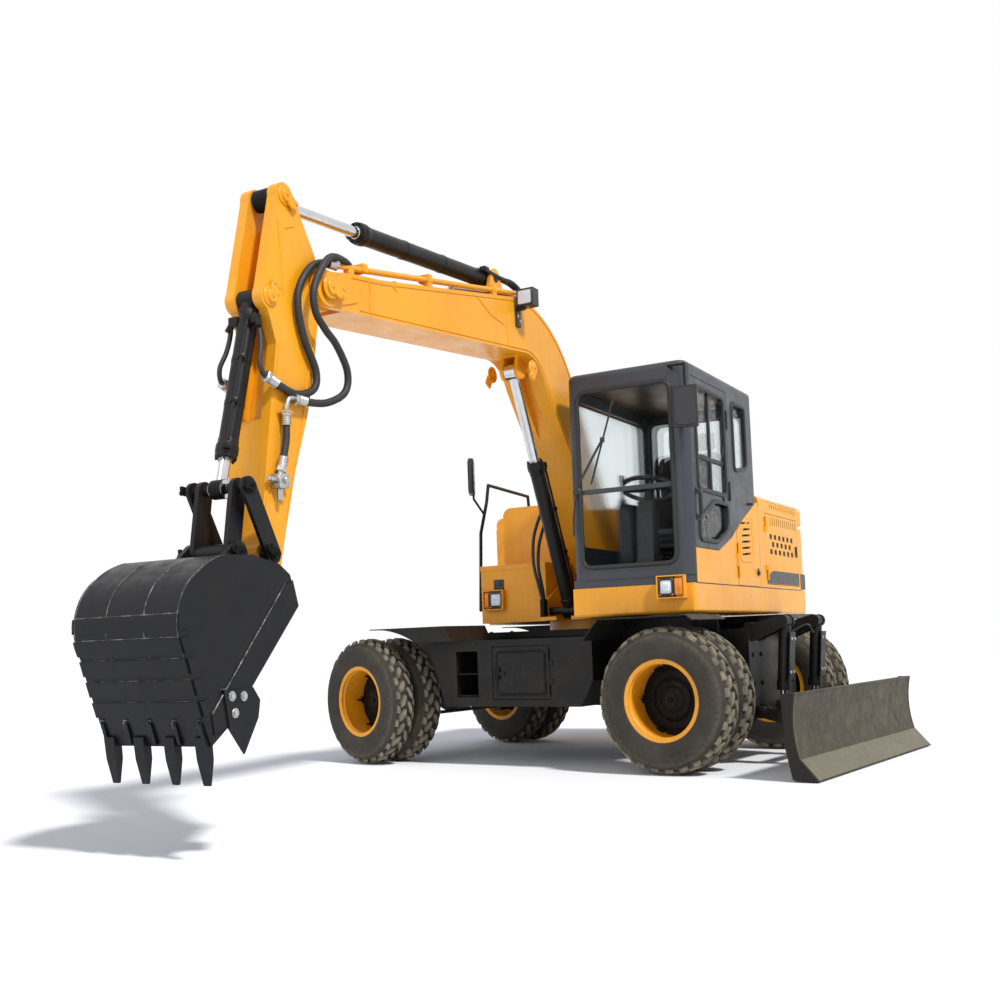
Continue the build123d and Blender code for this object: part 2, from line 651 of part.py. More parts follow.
def counterweight():
    top = HOOD_TOP - 200
    with BuildPart() as weight:
        with BuildSketch(Plane.XY.offset(UPPER_FLOOR + PLATE_T)) as plan:
            with BuildLine():
                Polyline((-1630, -SIDE_Y), (-1630, SIDE_Y), (TAIL_X + 60, SIDE_Y))
                ThreePointArc((TAIL_X + 60, SIDE_Y), (TAIL_X, 0), (TAIL_X + 60, -SIDE_Y))
                Line((TAIL_X + 60, -SIDE_Y), (-1630, -SIDE_Y))
            make_face()
        extrude(plan.sketch, amount=top - UPPER_FLOOR - PLATE_T)
        across = (-SIDE_Y - 5, SIDE_Y + 5)
        block((-1765, -1620), across, (UPPER_FLOOR - 5, SKIRT_TOP + SEAT), mode=Mode.SUBTRACT)
        edges = weight.edges().filter_by(Axis.Z).group_by(Axis.X)[0]
        fillet(edges, 70)
    save(weight.part, "counterweight")


def engine_house():
    """The fixed walls round the engine, open above for the hood and at each side for a door."""
    top = HOOD_TOP - 100
    with BuildPart() as house:
        block((-1629, HOOD_FRONT), (-SIDE_Y, SIDE_Y), (SKIRT_TOP + SEAT, top))
        across = (-SIDE_Y + SHEET, SIDE_Y - SHEET)
        block((-1629 + SHEET, HOOD_FRONT - SHEET), across, (SKIRT_TOP - 5, top + 5), mode=Mode.SUBTRACT)
        for side in (-1, 1):
            opening = sorted((side * (SIDE_Y - SHEET - 5), side * (SIDE_Y + 5)))
            block((-1600, -645), opening, (SKIRT_TOP + 30, top - 30), mode=Mode.SUBTRACT)
            leaf((-657, 8), -625, side * SIDE_Y, side, SKIRT_TOP + 140, SKIRT_TOP + 180)
            leaf((-657, 8), -625, side * SIDE_Y, side, top - 180, top - 140)
            low, high = sorted((side * 720, side * 780))
            pin(HOOD_HINGE, 8.5, low, high)
            block((HOOD_HINGE[0] - 5, HOOD_HINGE[0] + 5), (low, high), (top - 33, HOOD_HINGE[1]))
    save(house.part, "engine_house")


def engine_hood():
    low = HOOD_TOP - 100 + SEAT
    with BuildPart() as hood:
        block((-1800, HOOD_FRONT - 10), (-SIDE_Y, SIDE_Y), (low - 60, HOOD_TOP))
        edges = hood.edges().filter_by(Axis.X).group_by(Axis.Z)[-1]
        fillet(edges, 55)
        edges = hood.edges().filter_by(Axis.Y).group_by(Axis.Z)[-1].sort_by(Axis.X)[:1]
        fillet(edges, 70)
        block((-1630 - 1, HOOD_FRONT), (-SIDE_Y - 5, SIDE_Y + 5), (low - 70, low), mode=Mode.SUBTRACT)
        across = (-SIDE_Y + 20, SIDE_Y - 20)
        block((-1770, HOOD_FRONT - 30), across, (low - 70, HOOD_TOP - 25), mode=Mode.SUBTRACT)
        for slot in range(VENTS):
            x = VENT_START - slot * VENT_PITCH
            for side in (-1, 1):
                wall = sorted((side * (SIDE_Y - 60), side * (SIDE_Y + 5)))
                block((x - 18, x), wall, (low + 14, HOOD_TOP - 48), mode=Mode.SUBTRACT)
        for side in (-1, 1):
            span = sorted((side * 780, side * 840))
            pin(HOOD_HINGE, 9, *span)
            block((HOOD_FRONT - 12, HOOD_HINGE[0]), span, (HOOD_HINGE[1] - 7, HOOD_HINGE[1] + 8))
    save(hood.part, "engine_hood")


def rear_side_doors():
    top = HOOD_TOP - 100
    for side, name in ((-1, "right_rear_door"), (1, "left_rear_door")):
        low, high = sorted((side * (SIDE_Y - SHEET + 1), side * SIDE_Y))
        with BuildPart() as door:
            block((-1595, -650), (low, high), (SKIRT_TOP + 35, top - 35))
            for slot in range(VENTS):
                x = VENT_START - slot * VENT_PITCH
                block((x - 18, x), (low - 5, high + 5), (top - 120, top - 55), mode=Mode.SUBTRACT)
            for count, start, z in HOLE_ROWS:
                for hole in range(count):
                    x = start - hole * HOLE_PITCH
                    block((x - 33, x + 33), (low - 5, high + 5), (z - 20, z + 20), mode=Mode.SUBTRACT)
            handle = sorted((side * (SIDE_Y - 1), side * (SIDE_Y + 14)))
            block((-1560, -1535), handle, (1545, 1625))
            knuckles((-657, 8), side * SIDE_Y, side,
                     ((SKIRT_TOP + 60, SKIRT_TOP + 140), (top - 140, top - 60)))
        save(door.part, name)


def side_panel():
    """The yellow panel under the cab's rising lower edge, and the door in it."""
    wall = (SIDE_Y - SHEET, SIDE_Y)
    with BuildPart() as panel:
        slab([(CAB_FRONT - 60, SKIRT_TOP + SEAT), (CAB_FRONT - 60, 1500), (500, 1500), (200, 1610),
              (90, 1672), (90, SKIRT_TOP + SEAT)], *wall)
        leaf((75, 8), 110, SIDE_Y, 1, SKIRT_TOP + 140, SKIRT_TOP + 180)
        leaf((75, 8), 110, SIDE_Y, 1, 1460, 1500)
    save(panel.part, "cab_side_panel")
    with BuildPart() as door:
        slab([(80, SKIRT_TOP + 6), (80, 1665), (-100, 1770), (CAB_REAR, 1925), (HOOD_FRONT + 6, 1925),
              (HOOD_FRONT + 6, SKIRT_TOP + 6)], *wall)
        for slot in range(6):
            z = 1500 + 47 * slot
            slab([(-250, z + 8), (-40, z - 8), (-40, z + 8), (-250, z + 24)], wall[0] - 5, wall[1] + 5,
                 mode=Mode.SUBTRACT)
        knuckles((75, 8), SIDE_Y, 1, ((SKIRT_TOP + 60, SKIRT_TOP + 140), (1500, 1580)))
    save(door.part, "left_front_door")


def right_front():
    low = UPPER_FLOOR + PLATE_T + SEAT
    hinge_x, hinge_z = LID_HINGE
    with BuildPart() as box:
        block((-300, 500), (-780, -210), (low, BOX_LID_Z))
        block((235, 476), (-756, -234), (low + 24, BOX_LID_Z + 10), mode=Mode.SUBTRACT)
        for span in ((-640, -600), (-400, -360)):
            pin(LID_HINGE, 7.5, *span)
            block((hinge_x - 8, hinge_x + 8), span, (BOX_LID_Z - 1, hinge_z - 3))
    save(box.part, "tool_box")
    with BuildPart() as lid:
        block((hinge_x + 12, 504), (-784, -208), (BOX_LID_Z + SEAT, BOX_LID_Z + 20))
        block((501, 505), (-784, -208), (BOX_LID_Z - 16, BOX_LID_Z + 20))
        for span in ((-700, -640), (-360, -300)):
            pin(LID_HINGE, 8, *span)
            block((hinge_x, hinge_x + 14), span, (hinge_z - 8, hinge_z + 5))
    save(lid.part, "tool_box_lid")
    with BuildPart() as tank:
        block((HOOD_FRONT + 15, 198), (-730, -220), (BOX_LID_Z + SEAT, TANK_TOP))
        edges = tank.edges().filter_by(Axis.X).group_by(Axis.Z)[-1]
        fillet(edges, 70)
    save(tank.part, "fuel_tank")


def rails_and_mirrors():
    with BuildPart() as rails:
        rail([(470, -780 - SEAT, 1170), (470, RAIL_Y - 10, 1170), (445, RAIL_Y, 1780), (335, RAIL_Y, 2040),
              (300, RAIL_Y, 2180), (-380, RAIL_Y, 2150), (-430, RAIL_Y, 1740), (-430, -730 - SEAT, 1740)], 13)
        rail([(380, RAIL_Y, 1935), (445, RAIL_Y - 55, 2060), (445, RAIL_Y - 55, 2200)], 9)
        rail([(CAB_FRONT + SEAT, SIDE_Y - 95, 2730), (CAB_FRONT + 75, SIDE_Y - 95, 2730),
              (CAB_FRONT + 75, SIDE_Y + 22, 2730), (CAB_FRONT + 75, SIDE_Y + 22, 2420)], 9)
    save(rails.part, "handrails")
    with BuildPart() as mirrors:
        for centre, turn in (((CAB_FRONT + 75 + 16, SIDE_Y + 22, 2437), 20), ((460, RAIL_Y - 62, 2235), -62)):
            with BuildSketch(Plane.XY.offset(centre[2] - 140)) as back:
                with Locations(Location((centre[0], centre[1], 0), (0, 0, turn))):
                    RectangleRounded(40, 172, 18)
            extrude(back.sketch, amount=280)
        post((CAB_FRONT + 75, SIDE_Y + 22), 9 + RUN, 2290, 2421, mode=Mode.SUBTRACT)
        post((CAB_FRONT + 75, SIDE_Y + 22), 9 + RUN, 2400, 2600, mode=Mode.SUBTRACT)
        post((445, RAIL_Y - 55), 9 + RUN, 2060, 2201, mode=Mode.SUBTRACT)
    save(mirrors.part, "mirrors")


def head_lamps():
    """A square lamp and an indicator in a box under the cab, and another pair below the tool box's lid."""
    with BuildPart() as lamps:
        for x, low, high, split in ((CAB_FRONT + SEAT, 918, 1118, 1040), (500 + SEAT, -748, -568, -694)):
            block((x, x + 46), (low, high), (1162, 1318))
            block((x + 12, x + 60), (low + 8, high - 8), (1170, 1310), mode=Mode.SUBTRACT)
            wide, narrow = ((low + 14, split - 6), (split + 6, high - 14))
            if split - low < high - split:
                wide, narrow = narrow, wide
            block((x + 11, x + 36), wide, (1184, 1296))
            block((x + 11, x + 32), narrow, (1184, 1296))
    save(lamps.part, "head_lamps")


def engine():
    with BuildPart() as mass:
        block((-1450, -750), (-420, 420), (UPPER_FLOOR + PLATE_T + SEAT, 1700))
        block((-1400, -900), (-300, 300), (1700, 1800))
    save(mass.part, "engine_block")


def cab():
    left, right = SIDE_Y, CAB_RIGHT
    front, rear = CAB_FRONT, CAB_REAR
    inner_left = left - CAB_WALL
    with BuildPart() as shell:
        with BuildSketch(Plane.XY.offset(CAB_FLOOR)) as plan:
            with Locations(((front + rear) / 2, (left + right) / 2)):
                Rectangle(front - rear, left - right)
            corners = plan.vertices().sort_by(Axis.X)
            fillet(corners[-2:], 80)
            fillet(plan.vertices().sort_by(Axis.X)[:2], 45)
        extrude(plan.sketch, amount=CAB_EAVE - CAB_FLOOR)
        room = (rear + CAB_WALL, front - CAB_WALL)
        block(room, (right + CAB_WALL, inner_left), (CAB_FLOOR + 30, CAB_EAVE + 5), mode=Mode.SUBTRACT)
        # Windscreen, right window, rear window
        rounded(SCREEN, WINDOW_R, front - 60, front + 5, across="x", mode=Mode.SUBTRACT)
        rounded(RIGHT_WINDOW, WINDOW_R, right - 5, right + 60, mode=Mode.SUBTRACT)
        rounded(REAR_WINDOW, WINDOW_R, rear - 5, rear + 60, across="x", mode=Mode.SUBTRACT)
        # Doorway, rear side window, and the wall that the yellow panels take the place of
        slab([(935, 1498), (935, 2690), (195, 2690), (195, 1605), (500, 1498)], inner_left - 30, left + 5,
             mode=Mode.SUBTRACT)
        rounded(SIDE_WINDOW, PANE_R, inner_left - 30, left + 5, mode=Mode.SUBTRACT)
        # Bar across the windscreen
        block((front - 36, front - 10), (350, 1070), BAR_Z)
        leaf((210, 8), 180, left, 1, 1980, 2020)
        leaf((210, 8), 180, left, 1, 2410, 2450)
        slab([(front - 58, CAB_FLOOR - 5), (front - 58, 1502), (500, 1502), (200, 1612), (-100, 1780),
              (rear - 5, 1932), (rear - 5, CAB_FLOOR - 5)], left - SHEET - 5, left + 5, mode=Mode.SUBTRACT)
    save(shell.part, "cab_shell")
    with BuildPart() as roof:
        with BuildSketch(Plane.XY.offset(CAB_EAVE + SEAT)) as plan:
            with Locations(((front + rear) / 2, (left + right) / 2)):
                Rectangle(front - rear, left - right)
            fillet(plan.vertices().sort_by(Axis.X)[-2:], 80)
            fillet(plan.vertices().sort_by(Axis.X)[:2], 45)
        extrude(plan.sketch, amount=CAB_ROOF - CAB_EAVE - SEAT)
        fillet(roof.faces().sort_by(Axis.Z)[-1].edges(), 42)
    save(roof.part, "cab_roof")
    with BuildPart() as glass:
        rounded(SCREEN, WINDOW_R, front - 30, front - 24, inset=SEAT, across="x")
        block((front - 40, front - 10), (350, 1070), (BAR_Z[0] - SEAT, BAR_Z[1] + SEAT), mode=Mode.SUBTRACT)
        rounded(RIGHT_WINDOW, WINDOW_R, right + 16, right + 22, inset=SEAT)
        rounded(REAR_WINDOW, WINDOW_R, rear + 16, rear + 22, inset=SEAT, across="x")
        rounded(SIDE_WINDOW, PANE_R, left - 22, left - 16, inset=SEAT)
    save(glass.part, "cab_glass")
    with BuildPart() as door:
        slab([(930, 1504), (930, 2685), (201, 2685), (201, 1610), (500, 1504)], inner_left + 4, left)
        rounded(DOOR_WINDOW, PANE_R, inner_left, left + 5, mode=Mode.SUBTRACT)
        rounded(DOOR_LOWER_WINDOW, PANE_R, inner_left, left + 5, mode=Mode.SUBTRACT)
        block((892, 912), (left + 16, left + 32), (1700, 1900))
        for z in ((1700, 1722), (1878, 1900)):
            block((892, 912), (left - 1, left + 20), z)
        knuckles((210, 8), left, 1, ((1880, 1980), (2450, 2550)))
    save(door.part, "cab_door")
    with BuildPart() as pane:
        rounded(DOOR_WINDOW, PANE_R, left - 22, left - 16, inset=SEAT)
        rounded(DOOR_LOWER_WINDOW, PANE_R, left - 22, left - 16, inset=SEAT)
    save(pane.part, "cab_door_glass")


def cab_inside():
    floor = CAB_FLOOR + 30 + SEAT
    with BuildPart() as seat:
        block((-150, 250), (540, 900), (floor, 1600))
        block((-180, 330), (500, 940), (1600, 1720))
        slab([(-180, 1720), (-40, 1720), (-120, 2330), (-230, 2330), (-250, 2300)], 510, 930)
        slab([(-135, 2340), (-130, 2480), (-220, 2480), (-225, 2330), (-150, 2325)], 620, 820)
    save(seat.part, "seat")
    with BuildPart() as controls:
        for y in ((370, 480), (960, 1070)):
            block((-100, 420), y, (floor, 1900))
        slab([(640, floor), (760, floor), (720, 1880), (640, 1880)], 660, 780)
        post((430, 425), 14, 1899, 2080)
        post((330, 1015), 14, 1899, 2080)
        with BuildSketch(Plane(origin=(640, 720, 1960), x_dir=(0, 1, 0), z_dir=(-0.35, 0, 0.94))) as rim:
            Circle(200)
            Circle(176, mode=Mode.SUBTRACT)
            Circle(45)
            Rectangle(390, 26)
        extrude(rim.sketch, amount=24)
        slab([(640, 1870), (700, 1870), (660, 1975), (625, 1965)], 690, 750)
    save(controls.part, "controls")


def boom_top(x):
    """Height of the boom's upper face, which is straight between three points."""
    (x1, z1), (x2, z2), (x3, z3) = BOOM_TOP
    if x < x2:
        return z1 + (z2 - z1) * (x - x1) / (x2 - x1)
    return z2 + (z3 - z2) * (x - x2) / (x3 - x2)


def boom():
    with BuildPart() as part:
        with BuildSketch(Plane.XZ.offset(BOOM_HALF)) as side:
            with BuildLine():
                Polyline((-88, 1545), (560, 2618))
                ThreePointArc((560, 2618), (900, 3090), (1420, 3282))
                Polyline((1420, 3282), (3114, 2972), (3400, 2936), (3600, 2896), (3600, 2704), (3142, 2744),
                         (1420, 2900))
                ThreePointArc((1420, 2900), (1225, 2865), (1106, 2731))
                Polyline((1106, 2731), (80, 1445), (-88, 1545))
            make_face()
        extrude(side.sketch, amount=-2 * BOOM_HALF)
        pin(BOOM_FOOT, 105, -FOOT_HALF, FOOT_HALF)
        pin(BOOM_FOOT, 40, -FOOT_HALF - 38, FOOT_HALF + 38)
        # Fork at the tip, open for the arm
        pin(BOOM_TIP, 100, -BOOM_HALF, BOOM_HALF)
        pin(BOOM_TIP, 185, -ARM_HALF - GAP, ARM_HALF + GAP, mode=Mode.SUBTRACT)
        block((3560, 3800), (-ARM_HALF - GAP, ARM_HALF + GAP), (2600, 3000), mode=Mode.SUBTRACT)
        pin(BOOM_TIP, 38, -BOOM_HALF - 22, BOOM_HALF + 22)
        # Slot under the elbow, where the boom cylinder's rod eye moves
        slab([(1370, 2700), (1340, 2900), (1200, 2975), (1080, 2930), (1050, 2800), (900, 2560), (830, 2380),
              (1370, 2380)], -46, 46, mode=Mode.SUBTRACT)
        # Ears of the boom cylinder's rod and of the arm cylinder's foot
        for side in (-1, 1):
            low, high = sorted((side * 46, side * 71))
            hull([(*BOOM_CYL_EYE, 62), (1240, 2960, 90)], low, high)
            low, high = sorted((side * 60, side * 85))
            hull([(*ARM_CYL_FOOT, 62), (1640, 3210, 120)], low, high)
            pin(ARM_CYL_FOOT, 30 + RUN, low, high, mode=Mode.SUBTRACT)
            low, high = sorted((side * (BOOM_HALF - 1), side * (BOOM_HALF + 8)))
            hull([(*BOOM_TIP, 96), (3400, 2836, 62)], low, high)
    save(part.part, "boom")


def boom_fittings():
    """Two pipes on stands along the boom's top, and the work lamp on its left side."""
    with BuildPart() as pipes:
        for y in (-PIPE_Y, PIPE_Y):
            rail([(3560, y, 2944), (3430, y, 2966), (1650, y, 3276), (1480, y, 3306)], 15)
            for x in (3400, 2600, 1800):
                rear, front = boom_top(x - 25) + SEAT, boom_top(x + 25) + SEAT
                stand = [(x - 25, rear), (x + 25, front), (x + 25, front + 36), (x - 25, rear + 36)]
                slab(stand, y - 18, y + 18)
    save(pipes.part, "boom_pipes")
    with BuildPart() as lamp:
        block((1470, 1530), (BOOM_HALF + SEAT, BOOM_HALF + 14), (3060, 3200))
        block((1486, 1516), (BOOM_HALF + 13, BOOM_HALF + 60), (3170, 3190))
        block((1460, 1545), (BOOM_HALF + 24, BOOM_HALF + 150), (3186, 3306))
    save(lamp.part, "work_lamp")


def arm():
    with BuildPart() as part:
        with BuildSketch(Plane.XZ.offset(ARM_HALF)) as side:
            with BuildLine():
                Polyline((3840, 3250), (3660, 2960), (3640, 2690), (3700, 2330), (3755, 2110), (3864, 1809),
                         (3952, 1487), (4050, 1080), (4170, 1100), (4150, 1374), (4111, 1637), (4056, 2015),
                         (3990, 2439), (4085, 2700), (3955, 3250), close=True)
            make_face()
        extrude(side.sketch, amount=-2 * ARM_HALF)
        pin(BOOM_TIP, 115, -ARM_HALF, ARM_HALF)
        pin(ARM_CYL_EYE, 66, -ARM_HALF, ARM_HALF)
        pin(BUCKET_CYL_FOOT, 66, -ARM_HALF, ARM_HALF)
        pin(ROCKER_PIN, 58, -ARM_HALF, ARM_HALF)
        pin(ARM_TIP, 72, -ARM_HALF, ARM_HALF)
        slab([(3600, 3320), (4400, 3320), (4400, 2000), (4000, 2060), (3905, 2560), (3885, 2900),
              (3850, 3080), (3600, 3080)], -60, 60, mode=Mode.SUBTRACT)
        pin(BOOM_TIP, 38 + RUN, -ARM_HALF, ARM_HALF, mode=Mode.SUBTRACT)
        pin(BUCKET_CYL_FOOT, 28 + RUN, -ARM_HALF, ARM_HALF, mode=Mode.SUBTRACT)
        pin(ROCKER_PIN, 25 + RUN, -ARM_HALF, ARM_HALF, mode=Mode.SUBTRACT)
        pin(ARM_TIP, 30 + RUN, -ARM_HALF, ARM_HALF, mode=Mode.SUBTRACT)
    save(part.part, "arm")


def cylinders():
    barrel_of("boom_cylinder", BOOM_CYL_FOOT, BOOM_CYL_EYE, 36, 54, 58, 50, 30, 197, 1180)
    rod_of("boom_rod", BOOM_CYL_FOOT, BOOM_CYL_EYE, 36, 58, 41, 575)
    barrel_of("arm_cylinder", ARM_CYL_FOOT, ARM_CYL_EYE, 32, 56, 58, 54, 30, 90, 1480)
    rod_of("arm_rod", ARM_CYL_FOOT, ARM_CYL_EYE, 32, 56, 55, 1180)
    barrel_of("bucket_cylinder", BUCKET_CYL_FOOT, LINK_PIN, 28, 48, 52, 54, 28, ARM_HALF, 850)
    rod_of("bucket_rod", BUCKET_CYL_FOOT, LINK_PIN, 28, 46, 40, 300)


def linkage():
    with BuildPart() as rockers:
        pin(ROCKER_PIN, 25, -180, 180)
        for side in (-1, 1):
            low, high = sorted((side * 160, side * 180))
            hull([(*ROCKER_PIN, 50), (*LINK_PIN, 48)], low, high)
            low, high = sorted((side * (ARM_HALF + 1), side * 161))
            pin(ROCKER_PIN, 38, low, high)
    save(rockers.part, "rocker_links")
    with BuildPart() as link:
        for side in (-1, 1):
            low, high = sorted((side * 92, side * ARM_HALF))
            hull([(*LINK_PIN, 46), (*EAR_PIN, 46)], low, high)
            low, high = sorted((side * 51, side * (160 - SEAT)))
            pin(LINK_PIN, 25, low, high)
        reach = ARM_HALF + 8 - SEAT
        pin(EAR_PIN, 42, -reach, reach)
    save(link.part, "bucket_link")


def wrapper_x(z):
    """The outer face of the bucket's front, at a height."""
    (x1, z1), (x2, z2), (x3, z3) = BUCKET_FRONT
    if z < z2:
        return x1 + (x2 - x1) * (z - z1) / (z2 - z1)
    return x2 + (x3 - x2) * (z - z2) / (z3 - z2)


def bucket():
    lip, knee, brow = BUCKET_FRONT
    wall = 15
    outline = [(knee,), (brow,), ((4885, 1070), (4761, 1259)), ((4680, 1309), (4584, 1340)), ((4420, 1345),),
               ((4238, 1311),), ((4163, 1264),), ((4109, 1113),), ((4440, 759),), ((4606, 583),)]
    inside = [((knee[0] - wall, knee[1] + 5),), ((brow[0] - wall, brow[1] + 5),),
              ((4870, 1068), (4753, 1247)), ((4673, 1295), (4582, 1326)), ((4476, 1331),),
              ((4410, 1290), (4364, 1227)), ((4283, 1042),), ((4187, 956),), ((4060, 954),), ((4060, 900),)]
    with BuildPart() as part:
        curved(lip, outline, -BUCKET_HALF, BUCKET_HALF)
        curved((4660, 480), inside, -BUCKET_HALF + 16, BUCKET_HALF - 16, mode=Mode.SUBTRACT)
        saddle = [(4470, 1420), (4462, 1345), (4335, 1245), (4254, 1058), (4172, 986), (4000, 984),
                  (4000, 1420)]
        slab(saddle, -BUCKET_HALF + 16, BUCKET_HALF - 16, mode=Mode.SUBTRACT)
        # Wear plates across the front, ribs above the teeth
        for low_z in (640, 732, 824, 912):
            high_z = low_z + 66
            wear = [(wrapper_x(low_z) - 5, low_z), (wrapper_x(low_z) + 11, low_z),
                    (wrapper_x(high_z) + 9, high_z), (wrapper_x(high_z) - 5, high_z)]
            slab(wear, -BUCKET_HALF, BUCKET_HALF)
        for rib in range(5):
            y = -290 + 145 * rib
            slab([(wrapper_x(520) - 5, 520), (wrapper_x(520) + 16, 520), (wrapper_x(610) + 10, 610),
                  (wrapper_x(625) - 5, 625)], y - 9, y + 9)
        # Teeth: an adapter on the lip that narrows to a point, as (x, z, length along x, width)
        for row in range(4):
            y = -271 + 542 * row / 3
            sections = []
            for x, z, length, width in ((4712, 552, 44, 62), (4700, 455, 46, 54), (4689, 345, 13, 34)):
                with BuildSketch(Plane.XY.offset(z)) as face:
                    with Locations((x, y)):
                        Rectangle(length, width)
                sections.append(face.sketch)
            loft(sections, ruled=True)
        for side in (-1, 1):
            plate = sorted((side * (BUCKET_HALF - 1), side * (BUCKET_HALF + 14)))
            slab([(4639, 747), (4451, 752), (4406, 694), (4420, 616), (4513, 467), (4606, 583)], *plate)
            edge = sorted((side * (BUCKET_HALF - 1), side * (BUCKET_HALF + 6)))
            slab([(4150, 1238), (4112, 1117), (4440, 763), (4604, 592), (4690, 560), (4704, 640), (4520, 850),
                  (4200, 1215)], *edge)
        for side in (-1, 1):
            low, high = sorted((side * (ARM_HALF + 8), side * 154))
            hull([(*ARM_TIP, 68), (4290, 1120, 90), (4400, 1300, 45)], low, high)
            hull([(4290, 1120, 90), (*EAR_PIN, 52), (4420, 1310, 40)], low, high)
        pin(ARM_TIP, 30, -160, 160)
    save(part.part, "bucket")


chassis_frame()
side_boxes()
side_box_doors()
mudguards()
rear_axle()
front_axle()
knuckle(1, "left_knuckle")
knuckle(-1, "right_knuckle")
tie_rod()
driveline()
slew_ring()
pair = twin_tyres()
for end, axle_x in (("front", FRONT_AXLE_X), ("rear", REAR_AXLE_X)):
    for hand, side in (("left", 1), ("right", -1)):
        tyre_pair(pair, f"{end}_{hand}_tyres", axle_x, side)
        wheel(f"{end}_{hand}_wheel", axle_x, side)
blade()
blade_cylinders()
swing_frame()
counterweight()
engine_house()
engine_hood()
rear_side_doors()
side_panel()
right_front()
rails_and_mirrors()
head_lamps()
engine()
cab()
cab_inside()
boom()
boom_fittings()
arm()
cylinders()
linkage()
bucket()
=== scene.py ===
"""Wheeled excavator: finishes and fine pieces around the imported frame, in metres, +Z up.

World frame: the origin is on the ground under the slew axis, +X points along the boom. The undercarriage
is turned by UNDER_TURN about the slew axis, and its pieces are worked out along its own axes first.
"""
import math

import bmesh
import bpy
import numpy as np
from mathutils import Matrix


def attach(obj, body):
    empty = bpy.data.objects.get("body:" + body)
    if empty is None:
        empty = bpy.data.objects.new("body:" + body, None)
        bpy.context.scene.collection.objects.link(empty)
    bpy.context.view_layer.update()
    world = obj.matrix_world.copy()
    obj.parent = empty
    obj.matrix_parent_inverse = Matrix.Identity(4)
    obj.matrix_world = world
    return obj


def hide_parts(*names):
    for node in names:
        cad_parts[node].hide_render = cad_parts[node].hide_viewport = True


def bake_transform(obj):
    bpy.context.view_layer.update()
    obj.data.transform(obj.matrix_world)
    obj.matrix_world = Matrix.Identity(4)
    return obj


UNDER_TURN = math.radians(84.0)
STEER_REST = math.radians(-11.9)
TYRE_R = 0.489
REAR_AXLE_X = 1.113
FRONT_AXLE_X = -1.457
KINGPIN_Y = 0.780
RIM_FACE_Y = 1.154
TWIN_Y = (0.273, 0.003)
HANDS = (("left", 1.0), ("right", -1.0))
X_AXIS, ACROSS, Z_AXIS = (1.0, 0.0, 0.0), (0.0, 1.0, 0.0), (0.0, 0.0, 1.0)

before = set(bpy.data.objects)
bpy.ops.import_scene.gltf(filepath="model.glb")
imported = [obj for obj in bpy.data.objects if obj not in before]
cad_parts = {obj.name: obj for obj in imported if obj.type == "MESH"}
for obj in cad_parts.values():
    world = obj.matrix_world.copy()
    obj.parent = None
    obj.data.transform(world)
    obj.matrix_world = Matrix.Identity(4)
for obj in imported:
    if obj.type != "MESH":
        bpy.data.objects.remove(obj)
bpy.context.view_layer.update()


# Camera, floor and light

def set_camera():
    """The photograph's camera: 42 mm lens on a 36 mm film, level with the wheels' tops."""
    data = bpy.data.cameras.new("photo_camera")
    data.sensor_width = 36.0
    data.lens = 42.205
    data.shift_x = -0.00906
    data.shift_y = 0.0583
    data.clip_end = 200.0
    camera = bpy.data.objects.new("photo_camera", data)
    right = np.array((-0.48340443, 0.8746117, -0.03707454))
    up = np.array((0.04449911, 0.0668478, 0.99677039))
    back = np.cross(right, up)
    matrix = np.eye(4)
    matrix[:3, 0] = right
    matrix[:3, 1] = up
    matrix[:3, 2] = back
    matrix[:3, 3] = (8.4849, 3.8633, 0.9096)
    bpy.context.collection.objects.link(camera)
    camera.matrix_world = Matrix(matrix.tolist())
    bpy.context.scene.camera = camera
    bpy.context.scene.view_settings.view_transform = "Standard"


def add_sun(name, strength, angle, turn):
    """A soft sun lamp: turn is its tilt about X and its heading about Z, in degrees."""
    data = bpy.data.lights.new(name, "SUN")
    data.energy = strength
    data.angle = math.radians(angle)
    lamp = bpy.data.objects.new(name, data)
    lamp.rotation_euler = (math.radians(turn[0]), 0.0, math.radians(turn[1]))
    bpy.context.collection.objects.link(lamp)


def pale_world():
    """White to the camera, to gloss and through glass, and a plain soft grey on the object."""
    world = bpy.data.worlds.new("pale_room")
    bpy.context.scene.world = world
    world.use_nodes = True
    tree = world.node_tree
    tree.nodes.clear()
    out = tree.nodes.new("ShaderNodeOutputWorld")
    mix = tree.nodes.new("ShaderNodeMixShader")
    room = tree.nodes.new("ShaderNodeBackground")
    seen = tree.nodes.new("ShaderNodeBackground")
    path = tree.nodes.new("ShaderNodeLightPath")
    either = tree.nodes.new("ShaderNodeMath")
    either.operation = "MAXIMUM"
    any_ray = tree.nodes.new("ShaderNodeMath")
    any_ray.operation = "MAXIMUM"
    room.inputs["Color"].default_value = (0.80, 0.87, 1.0, 1.0)
    room.inputs["Strength"].default_value = 0.46
    seen.inputs["Color"].default_value = (1.0, 1.0, 1.0, 1.0)
    seen.inputs["Strength"].default_value = 1.0
    tree.links.new(path.outputs["Is Camera Ray"], either.inputs[0])
    tree.links.new(path.outputs["Is Transmission Ray"], either.inputs[1])
    tree.links.new(either.outputs[0], any_ray.inputs[0])
    tree.links.new(path.outputs["Is Glossy Ray"], any_ray.inputs[1])
    tree.links.new(any_ray.outputs[0], mix.inputs[0])
    tree.links.new(room.outputs[0], mix.inputs[1])
    tree.links.new(seen.outputs[0], mix.inputs[2])
    tree.links.new(mix.outputs[0], out.inputs["Surface"])


# Surfaces worked out with numpy: a shape is (points, faces), its faces four-cornered

